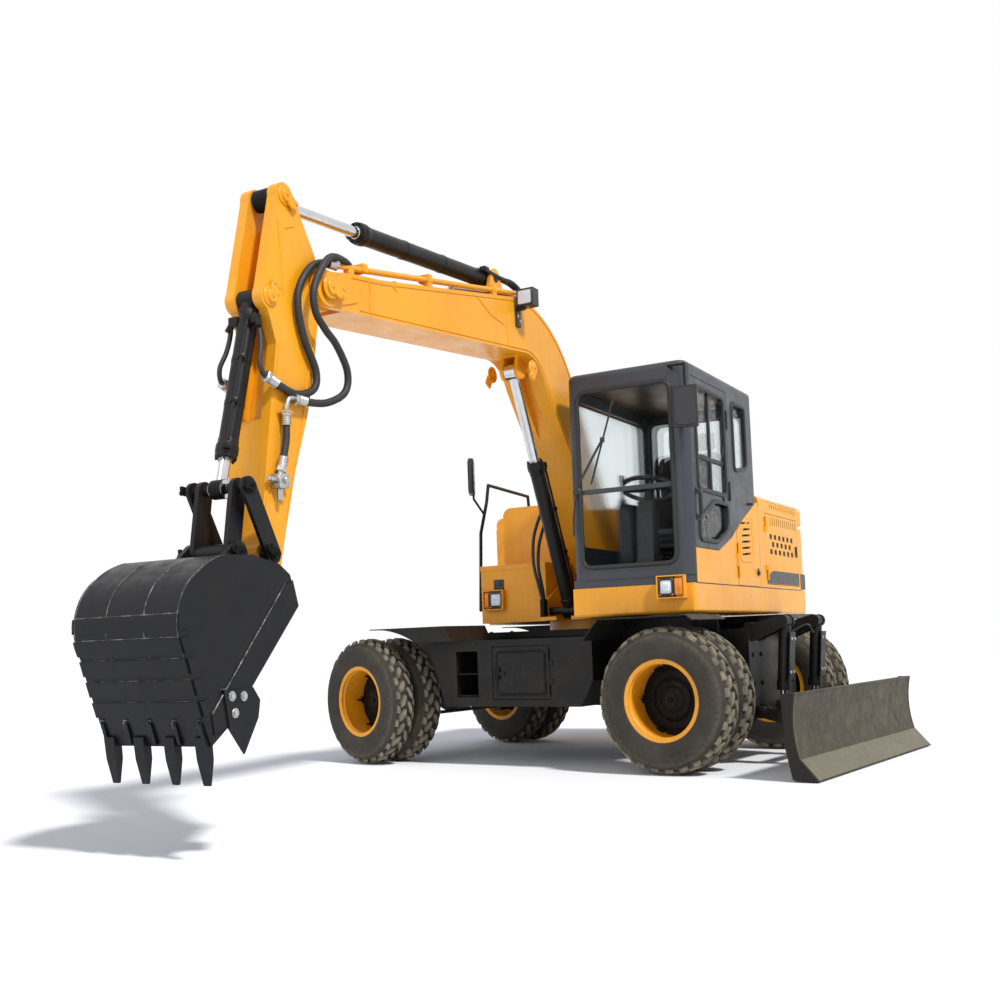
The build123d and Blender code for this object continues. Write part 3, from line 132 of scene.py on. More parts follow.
def grid_faces(rows, columns, close_rows=False, close_columns=False):
    """Faces of points stored row by row: face (i, j) joins rows i, i+1 and columns j, j+1."""
    row, column = np.meshgrid(np.arange(rows if close_rows else rows - 1),
                              np.arange(columns if close_columns else columns - 1), indexing="ij")
    below, beside = (row + 1) % rows, (column + 1) % columns
    corners = (row * columns + column, row * columns + beside, below * columns + beside,
               below * columns + column)
    return np.stack(corners, axis=-1).reshape(-1, 4)


def joined(*shapes):
    """One shape of several: the points end to end, each shape's faces counted on."""
    starts = np.cumsum([0] + [len(points) for points, _ in shapes[:-1]])
    return (np.concatenate([points for points, _ in shapes]),
            np.concatenate([faces + start for (_, faces), start in zip(shapes, starts)]))


def repeated(shape, turns, places):
    """Copies of a shape: copy k is turns[k] applied to each point, plus places[k]."""
    points, faces = shape
    turns, places = np.asarray(turns, float), np.asarray(places, float).reshape(-1, 3)
    if turns.ndim == 2:
        turns = np.broadcast_to(turns, (len(places), 3, 3))
    made = np.einsum("kij,nj->kni", turns, points) + places[:, None, :]
    steps = np.arange(len(places))[:, None, None] * len(points)
    return made.reshape(-1, 3), (faces[None] + steps).reshape(-1, 4)


def turn_z(angle):
    """The matrix that turns about +Z by an angle: (x cos - y sin, x sin + y cos, z)."""
    c, s = math.cos(angle), math.sin(angle)
    return np.array(((c, -s, 0.0), (s, c, 0.0), (0.0, 0.0, 1.0)))


def upright_on(axis):
    """The matrix that stands a shape's own Z along an axis: columns are two crossways units and it."""
    axis = np.asarray(axis, float) / np.linalg.norm(axis)
    first = np.cross(ACROSS if abs(axis[1]) < 0.9 else X_AXIS, axis)
    first /= np.linalg.norm(first)
    return np.stack((first, np.cross(axis, first), axis), axis=1)


def lathe(profile, sides, centre=(0.0, 0.0, 0.0), axis=Z_AXIS):
    """A turned piece: point (u, v) is (radius(u) cos v, radius(u) sin v, height(u)), stood along an axis."""
    profile = np.asarray(profile, float)
    turn = np.arange(sides) * 2.0 * np.pi / sides
    ring = np.stack((np.cos(turn), np.sin(turn)), axis=-1)
    points = np.concatenate((profile[:, None, :1] * ring, np.broadcast_to(
        profile[:, None, 1:], (len(profile), sides, 1))), axis=-1)
    return points.reshape(-1, 3) @ upright_on(axis).T + centre, grid_faces(len(profile), sides, False, True)


def smooth_path(corners, steps=8):
    """A smooth line through points: on each run the cubic whose slopes are half the neighbours' spread."""
    corners = np.asarray(corners, float)
    padded = np.concatenate((2 * corners[:1] - corners[1:2], corners, 2 * corners[-1:] - corners[-2:-1]))
    before, start, end, after = padded[:-3, None], padded[1:-2, None], padded[2:-1, None], padded[3:, None]
    t = np.linspace(0.0, 1.0, steps, endpoint=False)[None, :, None]
    run = start + 0.5 * t * (end - before) + t * t * (before - 2.5 * start + 2.0 * end - 0.5 * after) \
        + 0.5 * t ** 3 * (3.0 * (start - end) + after - before)
    return np.concatenate((run.reshape(-1, corners.shape[1]), corners[-1:]))


def carry(profile, path, up=None, closed=False, scale=None):
    """A profile carried along a path: point (u, v) is path(u) + across(v) side(u) + rise(v) up(u), where
    side is the path's direction crossed with up."""
    path, profile = np.asarray(path, float), np.asarray(profile, float)
    if closed:
        ahead = np.roll(path, -1, axis=0) - np.roll(path, 1, axis=0)
    else:
        ahead = np.gradient(path, axis=0)
    ahead /= np.linalg.norm(ahead, axis=1, keepdims=True)
    if up is None:
        up = np.linalg.svd(ahead, full_matrices=True)[2][-1]
    side = np.cross(ahead, up)
    side /= np.linalg.norm(side, axis=1, keepdims=True)
    rise = np.cross(side, ahead)
    size = np.ones(len(path)) if scale is None else np.asarray(scale, float)
    points = path[:, None] + size[:, None, None] * (profile[None, :, :1] * side[:, None]
                                                    + profile[None, :, 1:] * rise[:, None])
    shape = points.reshape(-1, 3), grid_faces(len(path), len(profile), closed, True)
    if closed:
        return shape
    caps = [np.repeat(points[end].mean(axis=0)[None], len(profile), axis=0) for end in (0, -1)]
    made = np.concatenate((caps[0][None], points, caps[1][None]))
    return made.reshape(-1, 3), grid_faces(len(path) + 2, len(profile), False, True)


def tube(path, radius, sides=12, up=None, scale=None):
    """A round hose or bar: a circle of a radius carried along a path."""
    turn = np.arange(sides) * 2.0 * np.pi / sides
    return carry(radius * np.stack((np.cos(turn), np.sin(turn)), axis=-1), path, up, scale=scale)


def bar(start, end, radius, sides=12, bevel=0.15):
    """A straight round bar with bevelled ends, turned about the line from start to end."""
    start, end = np.asarray(start, float), np.asarray(end, float)
    length = np.linalg.norm(end - start)
    cut = bevel * radius
    profile = [(0, 0), (radius - cut, 0), (radius, cut), (radius, length - cut), (radius - cut, length),
               (0, length)]
    return lathe(profile, sides, start, end - start)


def rounded_outline(corners, radius, steps=5):
    """A closed outline with rounded corners: at each corner a parabola between the two points that lie
    a radius from it on its runs."""
    corners = np.asarray(corners, float)
    back, ahead = np.roll(corners, 1, axis=0) - corners, np.roll(corners, -1, axis=0) - corners
    reach = [np.linalg.norm(run, axis=1, keepdims=True) for run in (back, ahead)]
    start = corners + back / reach[0] * np.minimum(radius, reach[0] * 0.49)
    end = corners + ahead / reach[1] * np.minimum(radius, reach[1] * 0.49)
    t = np.linspace(0.0, 1.0, steps)[None, :, None]
    arc = (1 - t) ** 2 * start[:, None] + 2 * t * (1 - t) * corners[:, None] + t * t * end[:, None]
    return arc.reshape(-1, corners.shape[1])


def plate(outline, low, high, bevel, axis="y"):
    """A flat plate with bevelled rims: its outline at four heights, drawn in by the bevel at the first
    and last, and closed at its middle. The outline is (x, z) for axis y, (y, z) for x and (x, y) for z."""
    outline = np.asarray(outline, float)
    middle = outline.mean(axis=0)
    ahead = np.roll(outline, -1, axis=0) - np.roll(outline, 1, axis=0)
    normal = np.stack((ahead[:, 1], -ahead[:, 0]), axis=-1)
    normal /= np.linalg.norm(normal, axis=1, keepdims=True)
    if np.sum(normal * (outline - middle)) < 0:
        normal = -normal
    drawn = outline - bevel * normal
    rings = [np.broadcast_to(middle, outline.shape), drawn, outline, outline, drawn,
             np.broadcast_to(middle, outline.shape)]
    heights = (low, low, low + bevel, high - bevel, high, high)
    points = np.concatenate([np.concatenate((ring, np.full((len(ring), 1), height)), axis=1)
                             for ring, height in zip(rings, heights)])
    order = {"y": (0, 2, 1), "x": (2, 0, 1), "z": (0, 1, 2)}[axis]
    return points[:, order], grid_faces(6, len(outline), False, True)


def rounded_box(low, high, radius, steps=4):
    """A box with round edges: a ball's points, each pushed out to the corner of the box in its octant."""
    low, high = np.asarray(low, float), np.asarray(high, float)
    quarter = np.linspace(0.0, 0.5 * np.pi, steps)
    tilt = np.concatenate((quarter - 0.5 * np.pi, quarter))
    over = np.repeat((-1.0, 1.0), steps)
    turn = (quarter[None] + np.arange(4)[:, None] * 0.5 * np.pi).ravel()
    side_x, side_y = np.repeat((1, -1, -1, 1), steps), np.repeat((1, 1, -1, -1), steps)
    ball = np.stack((np.cos(tilt)[:, None] * np.cos(turn), np.cos(tilt)[:, None] * np.sin(turn),
                     np.broadcast_to(np.sin(tilt)[:, None], (2 * steps, 4 * steps))), axis=-1)
    corner = np.stack(np.broadcast_arrays(side_x[None], side_y[None], over[:, None]), axis=-1)
    half = (high - low) / 2 - radius
    points = (low + high) / 2 + corner * half + ball * radius
    poles = [np.broadcast_to(points[end].mean(axis=0), (1, 4 * steps, 3)) for end in (0, -1)]
    points = np.concatenate((poles[0], points, poles[1]))
    return points.reshape(-1, 3), grid_faces(2 * steps + 2, 4 * steps, False, True)


def bolts(places, axis, size, height=None, sides=6):
    """Hexagon heads on washers: each turned in six flats, one for each place, standing along an axis."""
    height = 0.6 * size if height is None else height
    washer = lathe([(0, -0.002), (1.25 * size, -0.002), (1.25 * size, 0.12 * size), (0, 0.12 * size)], 12)
    head = lathe([(0, 0), (size, 0), (size, 0.82 * height), (0.82 * size, height), (0, height)], sides)
    return repeated(joined(washer, head), upright_on(axis), places)


def ring_of(count, radius, start=0.0):
    """Points (x, y, 0) evenly round a circle."""
    turn = start + np.arange(count) * 2.0 * np.pi / count
    return np.stack((radius * np.cos(turn), radius * np.sin(turn), np.zeros(count)), axis=-1)


def to_world(shape):
    """From the undercarriage's own axes to the world's."""
    points, faces = shape
    return points @ turn_z(UNDER_TURN).T, faces


def put_mesh(name, points, faces, smooth=True):
    """A mesh object from an array of points (n, 3) and an array of faces (m, 3) or (m, 4)."""
    mesh = bpy.data.meshes.new(name)
    count, corners = faces.shape
    mesh.vertices.add(len(points))
    mesh.vertices.foreach_set("co", np.ascontiguousarray(points, dtype=np.float32).ravel())
    mesh.loops.add(count * corners)
    mesh.loops.foreach_set("vertex_index", np.ascontiguousarray(faces, dtype=np.int32).ravel())
    mesh.polygons.add(count)
    mesh.polygons.foreach_set("loop_start", np.arange(count, dtype=np.int32) * corners)
    mesh.polygons.foreach_set("use_smooth", np.full(count, smooth))
    mesh.update(calc_edges=True)
    piece = bpy.data.objects.new(name, mesh)
    bpy.context.collection.objects.link(piece)
    return piece


def finish_piece(piece, material, body):
    """Give a piece its finish, the body that it rides on, if it has one alone."""
    piece.data.materials.clear()
    piece.data.materials.append(material)
    if body:
        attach(piece, body)
    return piece


def make(name, shape, material, body, smooth=30.0, attribute=None):
    """A finished piece of a shape: doubles merged, faces outwards, edges sharper than smooth kept."""
    piece = put_mesh(name, *shape)
    if attribute is not None:
        layer = piece.data.attributes.new("tread", "FLOAT", "POINT")
        layer.data.foreach_set("value", attribute.astype(np.float32))
    mended = bmesh.new()
    mended.from_mesh(piece.data)
    bmesh.ops.remove_doubles(mended, verts=mended.verts, dist=1e-6)
    bmesh.ops.dissolve_degenerate(mended, edges=mended.edges, dist=1e-6)
    bmesh.ops.recalc_face_normals(mended, faces=mended.faces)
    mended.to_mesh(piece.data)
    mended.free()
    piece.data.set_sharp_from_angle(angle=math.radians(smooth))
    return finish_piece(piece, material, body)


# Materials

class Paint:
    """A short hand for building one node material: nodes by name, links by socket."""

    def __init__(self, name):
        """A new material with its shader, and the object's own coordinates."""
        self.material = bpy.data.materials.new(name)
        self.material.use_nodes = True
        self.tree = self.material.node_tree
        self.shader = self.tree.nodes["Principled BSDF"]
        self.place = self.node("TexCoord").outputs["Object"]

    def node(self, kind, **inputs):
        """A node of a kind, its sockets set by name, with _ for a space."""
        made = self.tree.nodes.new("ShaderNode" + kind)
        for key, value in inputs.items():
            made.inputs[key.replace("_", " ")].default_value = value
        return made

    def link(self, source, target):
        """Carry one socket's value to another."""
        self.tree.links.new(source, target)

    def noise(self, scale, detail=4.0, rough=0.55, place=None):
        """Cloudy noise from 0 to 1."""
        made = self.node("TexNoise", Scale=scale, Detail=detail, Roughness=rough)
        self.link(place or self.place, made.inputs["Vector"])
        return made.outputs["Fac"]

    def ramp(self, source, low, high, to_low=0.0, to_high=1.0):
        """A value's range stretched to another, and held at its ends."""
        made = self.node("MapRange")
        made.inputs["From Min"].default_value = low
        made.inputs["From Max"].default_value = high
        made.inputs["To Min"].default_value = to_low
        made.inputs["To Max"].default_value = to_high
        self.link(source, made.inputs["Value"])
        return made.outputs["Result"]

    def math(self, operation, first, second):
        """A sum, product or the like of sockets or numbers."""
        made = self.node("Math")
        made.operation = operation
        made.use_clamp = operation in ("ADD", "MULTIPLY", "SUBTRACT")
        for socket, value in zip(made.inputs, (first, second)):
            if isinstance(value, (int, float)):
                socket.default_value = value
            else:
                self.link(value, socket)
        return made.outputs[0]

    def sum(self, first, second):
        """Two sockets added, with no clamp."""
        made = self.node("Math")
        self.link(first, made.inputs[0])
        self.link(second, made.inputs[1])
        return made.outputs[0]

    def mix(self, amount, first, second):
        """Two colours mixed, each a socket or a tuple."""
        made = self.node("Mix")
        made.data_type = "RGBA"
        if isinstance(amount, (int, float)):
            made.inputs[0].default_value = amount
        else:
            self.link(amount, made.inputs[0])
        for socket, value in ((made.inputs[6], first), (made.inputs[7], second)):
            if isinstance(value, tuple):
                socket.default_value = (*value, 1.0)
            else:
                self.link(value, socket)
        return made.outputs[2]

    def split(self, place=None):
        """The three parts of a place."""
        made = self.node("SeparateXYZ")
        self.link(place or self.place, made.inputs[0])
        return made.outputs

    def centred(self, centre, turn):
        """Coordinates about a point, turned about Z."""
        made = self.node("Mapping")
        made.vector_type = "TEXTURE"
        made.inputs["Location"].default_value = centre
        made.inputs["Rotation"].default_value = (0.0, 0.0, turn)
        self.link(self.place, made.inputs["Vector"])
        return made.outputs["Vector"]

    def stretched(self, scale):
        """Coordinates with a scale of their own on each axis, for streaks and brushing."""
        made = self.node("Mapping")
        made.inputs["Scale"].default_value = scale
        self.link(self.place, made.inputs["Vector"])
        return made.outputs["Vector"]

    def bump(self, height, strength, distance):
        """Relief on the shader from a height."""
        made = self.node("Bump", Strength=strength, Distance=distance)
        self.link(height, made.inputs["Height"])
        self.link(made.outputs["Normal"], self.shader.inputs["Normal"])

    def set(self, **values):
        """The shader's own sockets, each from a number, a colour or a socket."""
        for key, value in values.items():
            socket = self.shader.inputs[key.replace("_", " ")]
            if isinstance(value, (int, float)):
                socket.default_value = value
            elif isinstance(value, tuple):
                socket.default_value = (*value, 1.0)
            else:
                self.link(value, socket)
        return self


def body_paint(name, colour, dust, roughness, dust_amount=0.35, gloss=0.5, chips=None):
    """Sprayed paint: slow shifts of tone, streaks that run down it, fine orange-peel, dust low down."""
    paint = Paint(name)
    slow = paint.ramp(paint.noise(1.7, 3.0), 0.3, 0.7, 0.0, 1.0)
    shade = tuple(value * 0.84 for value in colour)
    toned = paint.mix(slow, colour, shade)
    streak = paint.ramp(paint.noise(1.0, 6.0, 0.6, paint.stretched((34.0, 34.0, 1.6))), 0.52, 0.8, 0.0, 0.35)
    toned = paint.mix(streak, toned, tuple(value * 0.62 for value in colour))
    low_down = paint.ramp(paint.split()[2], 0.3, 1.5, 1.0, 0.3)
    speck = paint.ramp(paint.noise(30.0, 8.0, 0.72), 0.50, 0.78)
    cloud = paint.ramp(paint.noise(3.1, 5.0, 0.6), 0.42, 0.72)
    dusty = paint.math("MULTIPLY", paint.math("MULTIPLY", low_down, paint.math("ADD", speck, cloud)),
                       dust_amount)
    shown = paint.mix(dusty, toned, dust)
    if chips is not None:
        chipped = paint.ramp(paint.noise(46.0, 10.0, 0.75), 0.665, 0.70, 0.0, 0.8)
        shown = paint.mix(chipped, shown, chips)
    paint.set(Base_Color=shown, Specular_IOR_Level=gloss)
    paint.set(Roughness=paint.ramp(paint.noise(9.0, 5.0), 0.3, 0.75, roughness - 0.05, roughness + 0.14))
    paint.bump(paint.noise(420.0, 2.0), 0.03, 0.001)
    return paint.material


def plain(name, colour, roughness, metallic=0.0, grain=160.0, depth=0.1):
    """A plain moulded or cast surface: a little variation of tone and a fine grain."""
    paint = Paint(name)
    toned = paint.mix(paint.noise(14.0, 6.0), tuple(value * 0.75 for value in colour), tuple(
        min(1.0, value * 1.25) for value in colour))
    paint.set(Base_Color=toned, Metallic=metallic)
    paint.set(Roughness=paint.ramp(paint.noise(22.0, 5.0), 0.3, 0.7, roughness - 0.07, roughness + 0.07))
    paint.bump(paint.noise(grain, 4.0), depth, 0.001)
    return paint.material


def muddy_rubber():
    """Tyre rubber: dry sandy mud on the blocks' tops, painted shade dark down their sides and in the grooves,
    dust on the walls.
    """
    paint = Paint("muddy_rubber")
    mud_and_shade_mark = paint.node("Attribute")
    mud_and_shade_mark.attribute_name = "tread"
    top = mud_and_shade_mark.outputs["Fac"]
    blotch = paint.ramp(paint.noise(9.0, 8.0, 0.68), 0.36, 0.62)
    fine = paint.noise(85.0, 8.0, 0.7)
    caked = paint.mix(fine, (0.120, 0.100, 0.068), (0.400, 0.340, 0.240))
    # Mud where the tread attribute is high, on the blocks' tops; lower down their sides and in the grooves
    # the dark rubber shows through as painted shade.
    mud_and_groove_shade = paint.math("MULTIPLY", paint.ramp(top, 0.15, 0.95), paint.math("ADD", paint.math(
        "MULTIPLY", blotch, 0.6), 0.40))
    wall = paint.mix(paint.ramp(paint.noise(5.0, 7.0, 0.65), 0.3, 0.75), (0.022, 0.018, 0.014),
                     (0.058, 0.048, 0.036))
    paint.set(Base_Color=paint.mix(mud_and_groove_shade, wall, caked))
    paint.set(Roughness=paint.ramp(fine, 0.3, 0.7, 0.82, 0.96))
    paint.bump(paint.noise(90.0, 10.0, 0.75), 0.75, 0.008)
    return paint.material


def wheel_paint(words, centre, turn):
    """One wheel's two paints, told apart by the distance from its axle: black hub and spokes, yellow rim."""
    paint = Paint(f"{words}_wheel_paint")
    x, _, z = paint.split(paint.centred(tuple(centre), turn))[:3]
    away = paint.math("POWER", paint.sum(paint.math("POWER", x, 2.0), paint.math("POWER", z, 2.0)), 0.5)
    rim = paint.ramp(away, 0.2362, 0.2368)
    slow = paint.ramp(paint.noise(6.0, 5.0), 0.3, 0.7)
    yellow_tone = paint.mix(slow, (0.90, 0.375, 0.008), (0.74, 0.285, 0.008))
    grime = paint.ramp(paint.noise(24.0, 9.0, 0.7), 0.52, 0.75, 0.0, 0.55)
    yellow_tone = paint.mix(grime, yellow_tone, (0.40, 0.24, 0.09))
    iron = paint.mix(slow, (0.006, 0.006, 0.006), (0.012, 0.011, 0.009))
    paint.set(Base_Color=paint.mix(rim, iron, yellow_tone))
    paint.set(Roughness=paint.ramp(paint.noise(12.0, 5.0), 0.3, 0.7, 0.34, 0.52), Specular_IOR_Level=0.4)
    paint.bump(paint.noise(300.0, 3.0), 0.05, 0.001)
    return paint.material


def worn_iron(name, colour, scraped, roughness, amount=0.5, scale=7.0):
    """Digging steel: dark paint rubbed through in cloudy patches and long fine scratches."""
    paint = Paint(name)
    patch = paint.ramp(paint.noise(scale, 9.0, 0.68), 0.47, 0.66, 0.0, amount)
    scratch = paint.ramp(paint.noise(1.0, 9.0, 0.7, paint.stretched((18.0, 90.0, 18.0))), 0.58, 0.72, 0.0,
                         amount)
    worn = paint.math("MAXIMUM", patch, scratch)
    paint.set(Base_Color=paint.mix(worn, paint.mix(paint.noise(2.2, 4.0), colour, tuple(
        value * 1.7 for value in colour)), scraped))
    paint.set(Metallic=paint.math("MULTIPLY", worn, 0.45), Specular_IOR_Level=0.22)
    paint.set(Roughness=paint.ramp(paint.noise(15.0, 6.0), 0.3, 0.7, roughness - 0.08, roughness + 0.16))
    paint.bump(paint.noise(60.0, 9.0, 0.7), 0.12, 0.002)
    return paint.material


set_camera()
pale_world()
add_sun("key_sun", 3.1, 6.0, (42.0, 158.0))
add_sun("fill_sun", 0.55, 50.0, (62.0, 75.0))

YELLOW = (0.92, 0.375, 0.006)
DUST = (0.50, 0.38, 0.22)
yellow = body_paint("yellow_paint", YELLOW, DUST, 0.30, 0.30, 0.4)
rim_paint = body_paint("rim_paint", (0.90, 0.375, 0.008), (0.35, 0.27, 0.17), 0.38, 0.5)
black = body_paint("black_paint", (0.0070, 0.0066, 0.0066), (0.045, 0.035, 0.024), 0.36, 0.35, 0.22)
iron_black = body_paint("hub_black", (0.0070, 0.0066, 0.0064), (0.018, 0.016, 0.013), 0.45, 0.3, 0.12)
blade_dark = worn_iron("blade_dark", (0.010, 0.0090, 0.0075), (0.030, 0.025, 0.018), 0.5, 0.5, 4.0)
blade_bright = worn_iron("blade_bright", (0.105, 0.092, 0.062), (0.165, 0.148, 0.105), 0.46, 0.9, 5.0)
cab_grey = body_paint("cab_paint", (0.030, 0.036, 0.047), (0.16, 0.15, 0.13), 0.34, 0.12)
mud_rubber = muddy_rubber()
rubber = plain("hose_rubber", (0.014, 0.013, 0.013), 0.55, 0.0, 900.0, 0.25)
seal_rubber = plain("seal_rubber", (0.010, 0.010, 0.011), 0.5)
chrome = plain("rod_chrome", (0.62, 0.62, 0.63), 0.14, 1.0, 300.0, 0.02)
zinc = plain("plated_steel", (0.50, 0.50, 0.49), 0.32, 1.0, 220.0, 0.06)
weld_steel = worn_iron("weld_steel", (0.030, 0.029, 0.028), (0.26, 0.25, 0.23), 0.42, 1.0, 16.0)
band_grey = plain("band_grey", (0.034, 0.031, 0.029), 0.42, 0.0, 300.0, 0.05)
# A black sheet behind the vent slots: painted shade of the space inside them.
vent_shade_black = plain("vent_shade_sheet", (0.006, 0.006, 0.006), 0.8, 0.0, 240.0, 0.6)
seat_cloth = plain("seat_cloth", (0.03, 0.03, 0.034), 0.9, 0.0, 500.0, 0.5)
plastic = plain("black_plastic", (0.018, 0.018, 0.020), 0.45)
engine_iron = plain("engine_iron", (0.08, 0.08, 0.085), 0.6, 0.6)
bucket_iron = worn_iron("bucket_iron", (0.0050, 0.0054, 0.0075), (0.024, 0.019, 0.015), 0.36, 0.5)
blade_iron = worn_iron("blade_iron", (0.034, 0.028, 0.016), (0.084, 0.069, 0.041), 0.50, 0.9, 4.0)
glass_paint = Paint("cab_pane")
glass_paint.set(Base_Color=(0.72, 0.80, 0.82), Roughness=0.02, Transmission_Weight=1.0, IOR=1.08, Alpha=0.42)
pane = glass_paint.material


def ribbed_lens(name, scale, distortion, low, high, rough, relief):
    """A lamp's lens: fine waves between two colours, which also raise its face."""
    paint = Paint(name)
    waves = paint.node("TexWave", Scale=scale, Distortion=distortion)
    paint.link(paint.place, waves.inputs["Vector"])
    paint.set(Base_Color=paint.mix(waves.outputs["Fac"], low, high), Roughness=rough)
    paint.bump(waves.outputs["Fac"], relief, 0.002)
    return paint.material


lens = ribbed_lens("lamp_lens", 60.0, 0.4, (0.62, 0.66, 0.70), (0.86, 0.90, 0.93), 0.12, 0.6)
amber = ribbed_lens("amber_lens", 80.0, 0.3, (0.80, 0.20, 0.01), (0.95, 0.36, 0.03), 0.15, 0.5)

NODE_FINISH = {
    black: ("chassis_frame", "side_boxes", "left_box_door", "right_box_door", "mudguards", "rear_axle",
            "front_axle", "left_knuckle", "right_knuckle", "tie_rod", "driveline", "left_blade_cylinder",
            "right_blade_cylinder", "boom_cylinder", "arm_cylinder", "bucket_cylinder", "handrails"),
    chrome: ("left_blade_rod", "right_blade_rod", "boom_rod", "arm_rod", "bucket_rod"),
    yellow: ("slew_ring", "swing_frame", "counterweight", "engine_house", "engine_hood", "left_rear_door",
             "right_rear_door", "cab_side_panel", "left_front_door", "tool_box", "tool_box_lid", "fuel_tank",
             "boom", "arm", "head_lamps", "boom_pipes"),
    cab_grey: ("cab_shell", "cab_roof", "cab_door"),
    bucket_iron: ("bucket", "rocker_links", "bucket_link"),
    blade_iron: ("blade",), pane: ("cab_glass", "cab_door_glass"), engine_iron: ("engine_block",),
    seat_cloth: ("seat",), plastic: ("controls", "mirrors", "work_lamp"),
}
for finish, nodes in NODE_FINISH.items():
    for node in nodes:
        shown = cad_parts[node]
        shown.data.materials.clear()
        shown.data.materials.append(finish)


# Tyres: half a section from its bead to the middle of the crown, as (distance out, radius)
SECTION = [(0.079, 0.2555), (0.094, 0.266), (0.106, 0.292), (0.1135, 0.330), (0.1155, 0.368), (0.111, 0.402),
           (0.101, 0.430), (0.084, 0.449), (0.045, 0.459), (0.0, 0.4615)]
LUG_TOP = 0.0272
LUGS_ROUND = 27
TYRE_SIDES = 108


def tyre_section():
    """The whole section, bead to bead: the half made smooth, and its mirror image."""
    half = smooth_path(SECTION, 4)
    return np.concatenate((half, (half * (-1.0, 1.0))[-2::-1]))


def on_tyre(turn, across, height):
    """A point of the tread: the section's point at a distance across from the crown's middle, moved out
    along the section's normal by a height, and turned about the axle by an angle."""
    section = tyre_section()
    run = np.concatenate(([0.0], np.cumsum(np.linalg.norm(np.diff(section, axis=0), axis=1))))
    run -= run[-1] / 2
    ahead = np.gradient(section, run, axis=0)
    ahead /= np.linalg.norm(ahead, axis=1, keepdims=True)
    out = np.interp(across, run, -section[:, 0]) - height * np.interp(across, run, -ahead[:, 1])
    radius = np.interp(across, run, section[:, 1]) + height * np.interp(across, run, -ahead[:, 0])
    return np.stack((radius * np.cos(turn), out, radius * np.sin(turn)), axis=-1)


def lug_row(rng, start, reach, width, lean, shift, height, hook):
    """Blocks round the tyre: point (a, b) of block k stands at the angle pitch (k + shift + width(b)
    (a - 1/2) + lean b) and at start + reach b + hook |a - 1/2| across, its height least at the rims."""
    edge_a = np.array((-0.09, 0.0, 0.09, 0.36, 0.64, 0.91, 1.0, 1.09))
    edge_b = np.array((-0.06, 0.0, 0.07, 0.25, 0.5, 0.75, 0.93, 1.0, 1.06))
    rise_a = np.array((0.0, 0.84, 1.0, 1.0, 1.0, 1.0, 0.84, 0.0))
    rise_b = np.array((0.0, 0.84, 1.0, 1.0, 1.0, 1.0, 1.0, 0.84, 0.0))
    block = np.arange(LUGS_ROUND)[:, None, None]
    a, b = edge_a[None, :, None], edge_b[None, None, :]
    size = (len(edge_a), len(edge_b))
    jitter = rng.uniform(-0.07, 0.07, (LUGS_ROUND, *size))
    wide = np.interp(edge_b, (0.0, 0.35, 0.65, 1.0), width)[None, None, :]
    bend = np.interp(edge_b, (0.0, 0.35, 0.65, 1.0), lean)[None, None, :]
    turn = 2 * np.pi / LUGS_ROUND * (block + shift + wide * (a - 0.5) + bend + 0.5 * jitter)
    long = np.where(block % 2 == 0, 1.0, 0.86)
    across = start + reach * long * b + hook * np.abs(a - 0.5) + np.zeros_like(turn)
    share = np.minimum(rise_a[None, :, None], rise_b[None, None, :])
    worn = rng.uniform(0.9, 1.0, (LUGS_ROUND, 1, 1))
    top = np.interp(edge_b, (0.0, 0.6, 1.0), height)[None, None, :] * worn
    rise = -0.003 + share * (top + 0.003) + 0.0 * turn
    points = on_tyre(turn, across, rise).reshape(-1, 3)
    steps = np.arange(LUGS_ROUND)[:, None, None] * size[0] * size[1]
    faces = (grid_faces(*size)[None] + steps).reshape(-1, 4)
    # The tread attribute returned with the blocks: 1 on their tops for mud, falling to their feet as painted
    # shade.
    return (points, faces), (0.22 + 0.78 * np.broadcast_to(share, turn.shape) ** 2).ravel()


def one_tyre(seed):
    """A casing turned about the axle, with four rows of blocks, the shoulder ones lapping on the walls."""
    rng = np.random.default_rng(seed)
    section = tyre_section()
    turn = np.arange(TYRE_SIDES) * 2 * np.pi / TYRE_SIDES
    around = np.stack((np.cos(turn), np.zeros(TYRE_SIDES), np.sin(turn)), axis=-1)
    ribs = sum(height * np.exp(-((section[:, 1] - radius) / width) ** 2) for height, radius, width in (
        (0.0016, 0.305, 0.004), (0.0018, 0.285, 0.005), (0.0014, 0.392, 0.003)))
    out = section[:, 0] + np.sign(section[:, 0]) * ribs
    points = section[:, None, 1:] * around + out[:, None, None] * np.array(ACROSS)
    shapes = [(points.reshape(-1, 3), grid_faces(len(section), TYRE_SIDES, True, True))]
    # Mud on the upper walls; none on the crown, so the grooves between the blocks stay dark as painted shade.
    wall = np.interp(section[:, 1], (0.300, 0.395, 0.425, 0.445), (0.05, 0.20, 0.34, 0.0))
    mud_and_shade_marks = [np.repeat(wall, TYRE_SIDES)]
    rows = ((0.063, 0.082, (0.42, 0.60, 0.54, 0.42), (0.10, -0.06, 0.0, 0.03), 0.0, (1.0, 0.94, 0.42), 0.012),
            (0.004, 0.053, (0.30, 0.62, 0.58, 0.30), (-0.22, -0.04, 0.12, 0.30), 0.42, (1.0, 1.0, 1.0),
             0.010))
    for hand in (1.0, -1.0):
        for start, reach, width, lean, shift, height, hook in rows:
            (block, faces), mud_and_shade_mark = lug_row(rng, start, reach, width, lean, shift + (0.5 if hand < 0 else 0.0),
                                           [LUG_TOP * value for value in height], hook)
            shapes.append((block * (1.0, hand, 1.0), faces))
            mud_and_shade_marks.append(mud_and_shade_mark)
    return joined(*shapes), np.concatenate(mud_and_shade_marks)


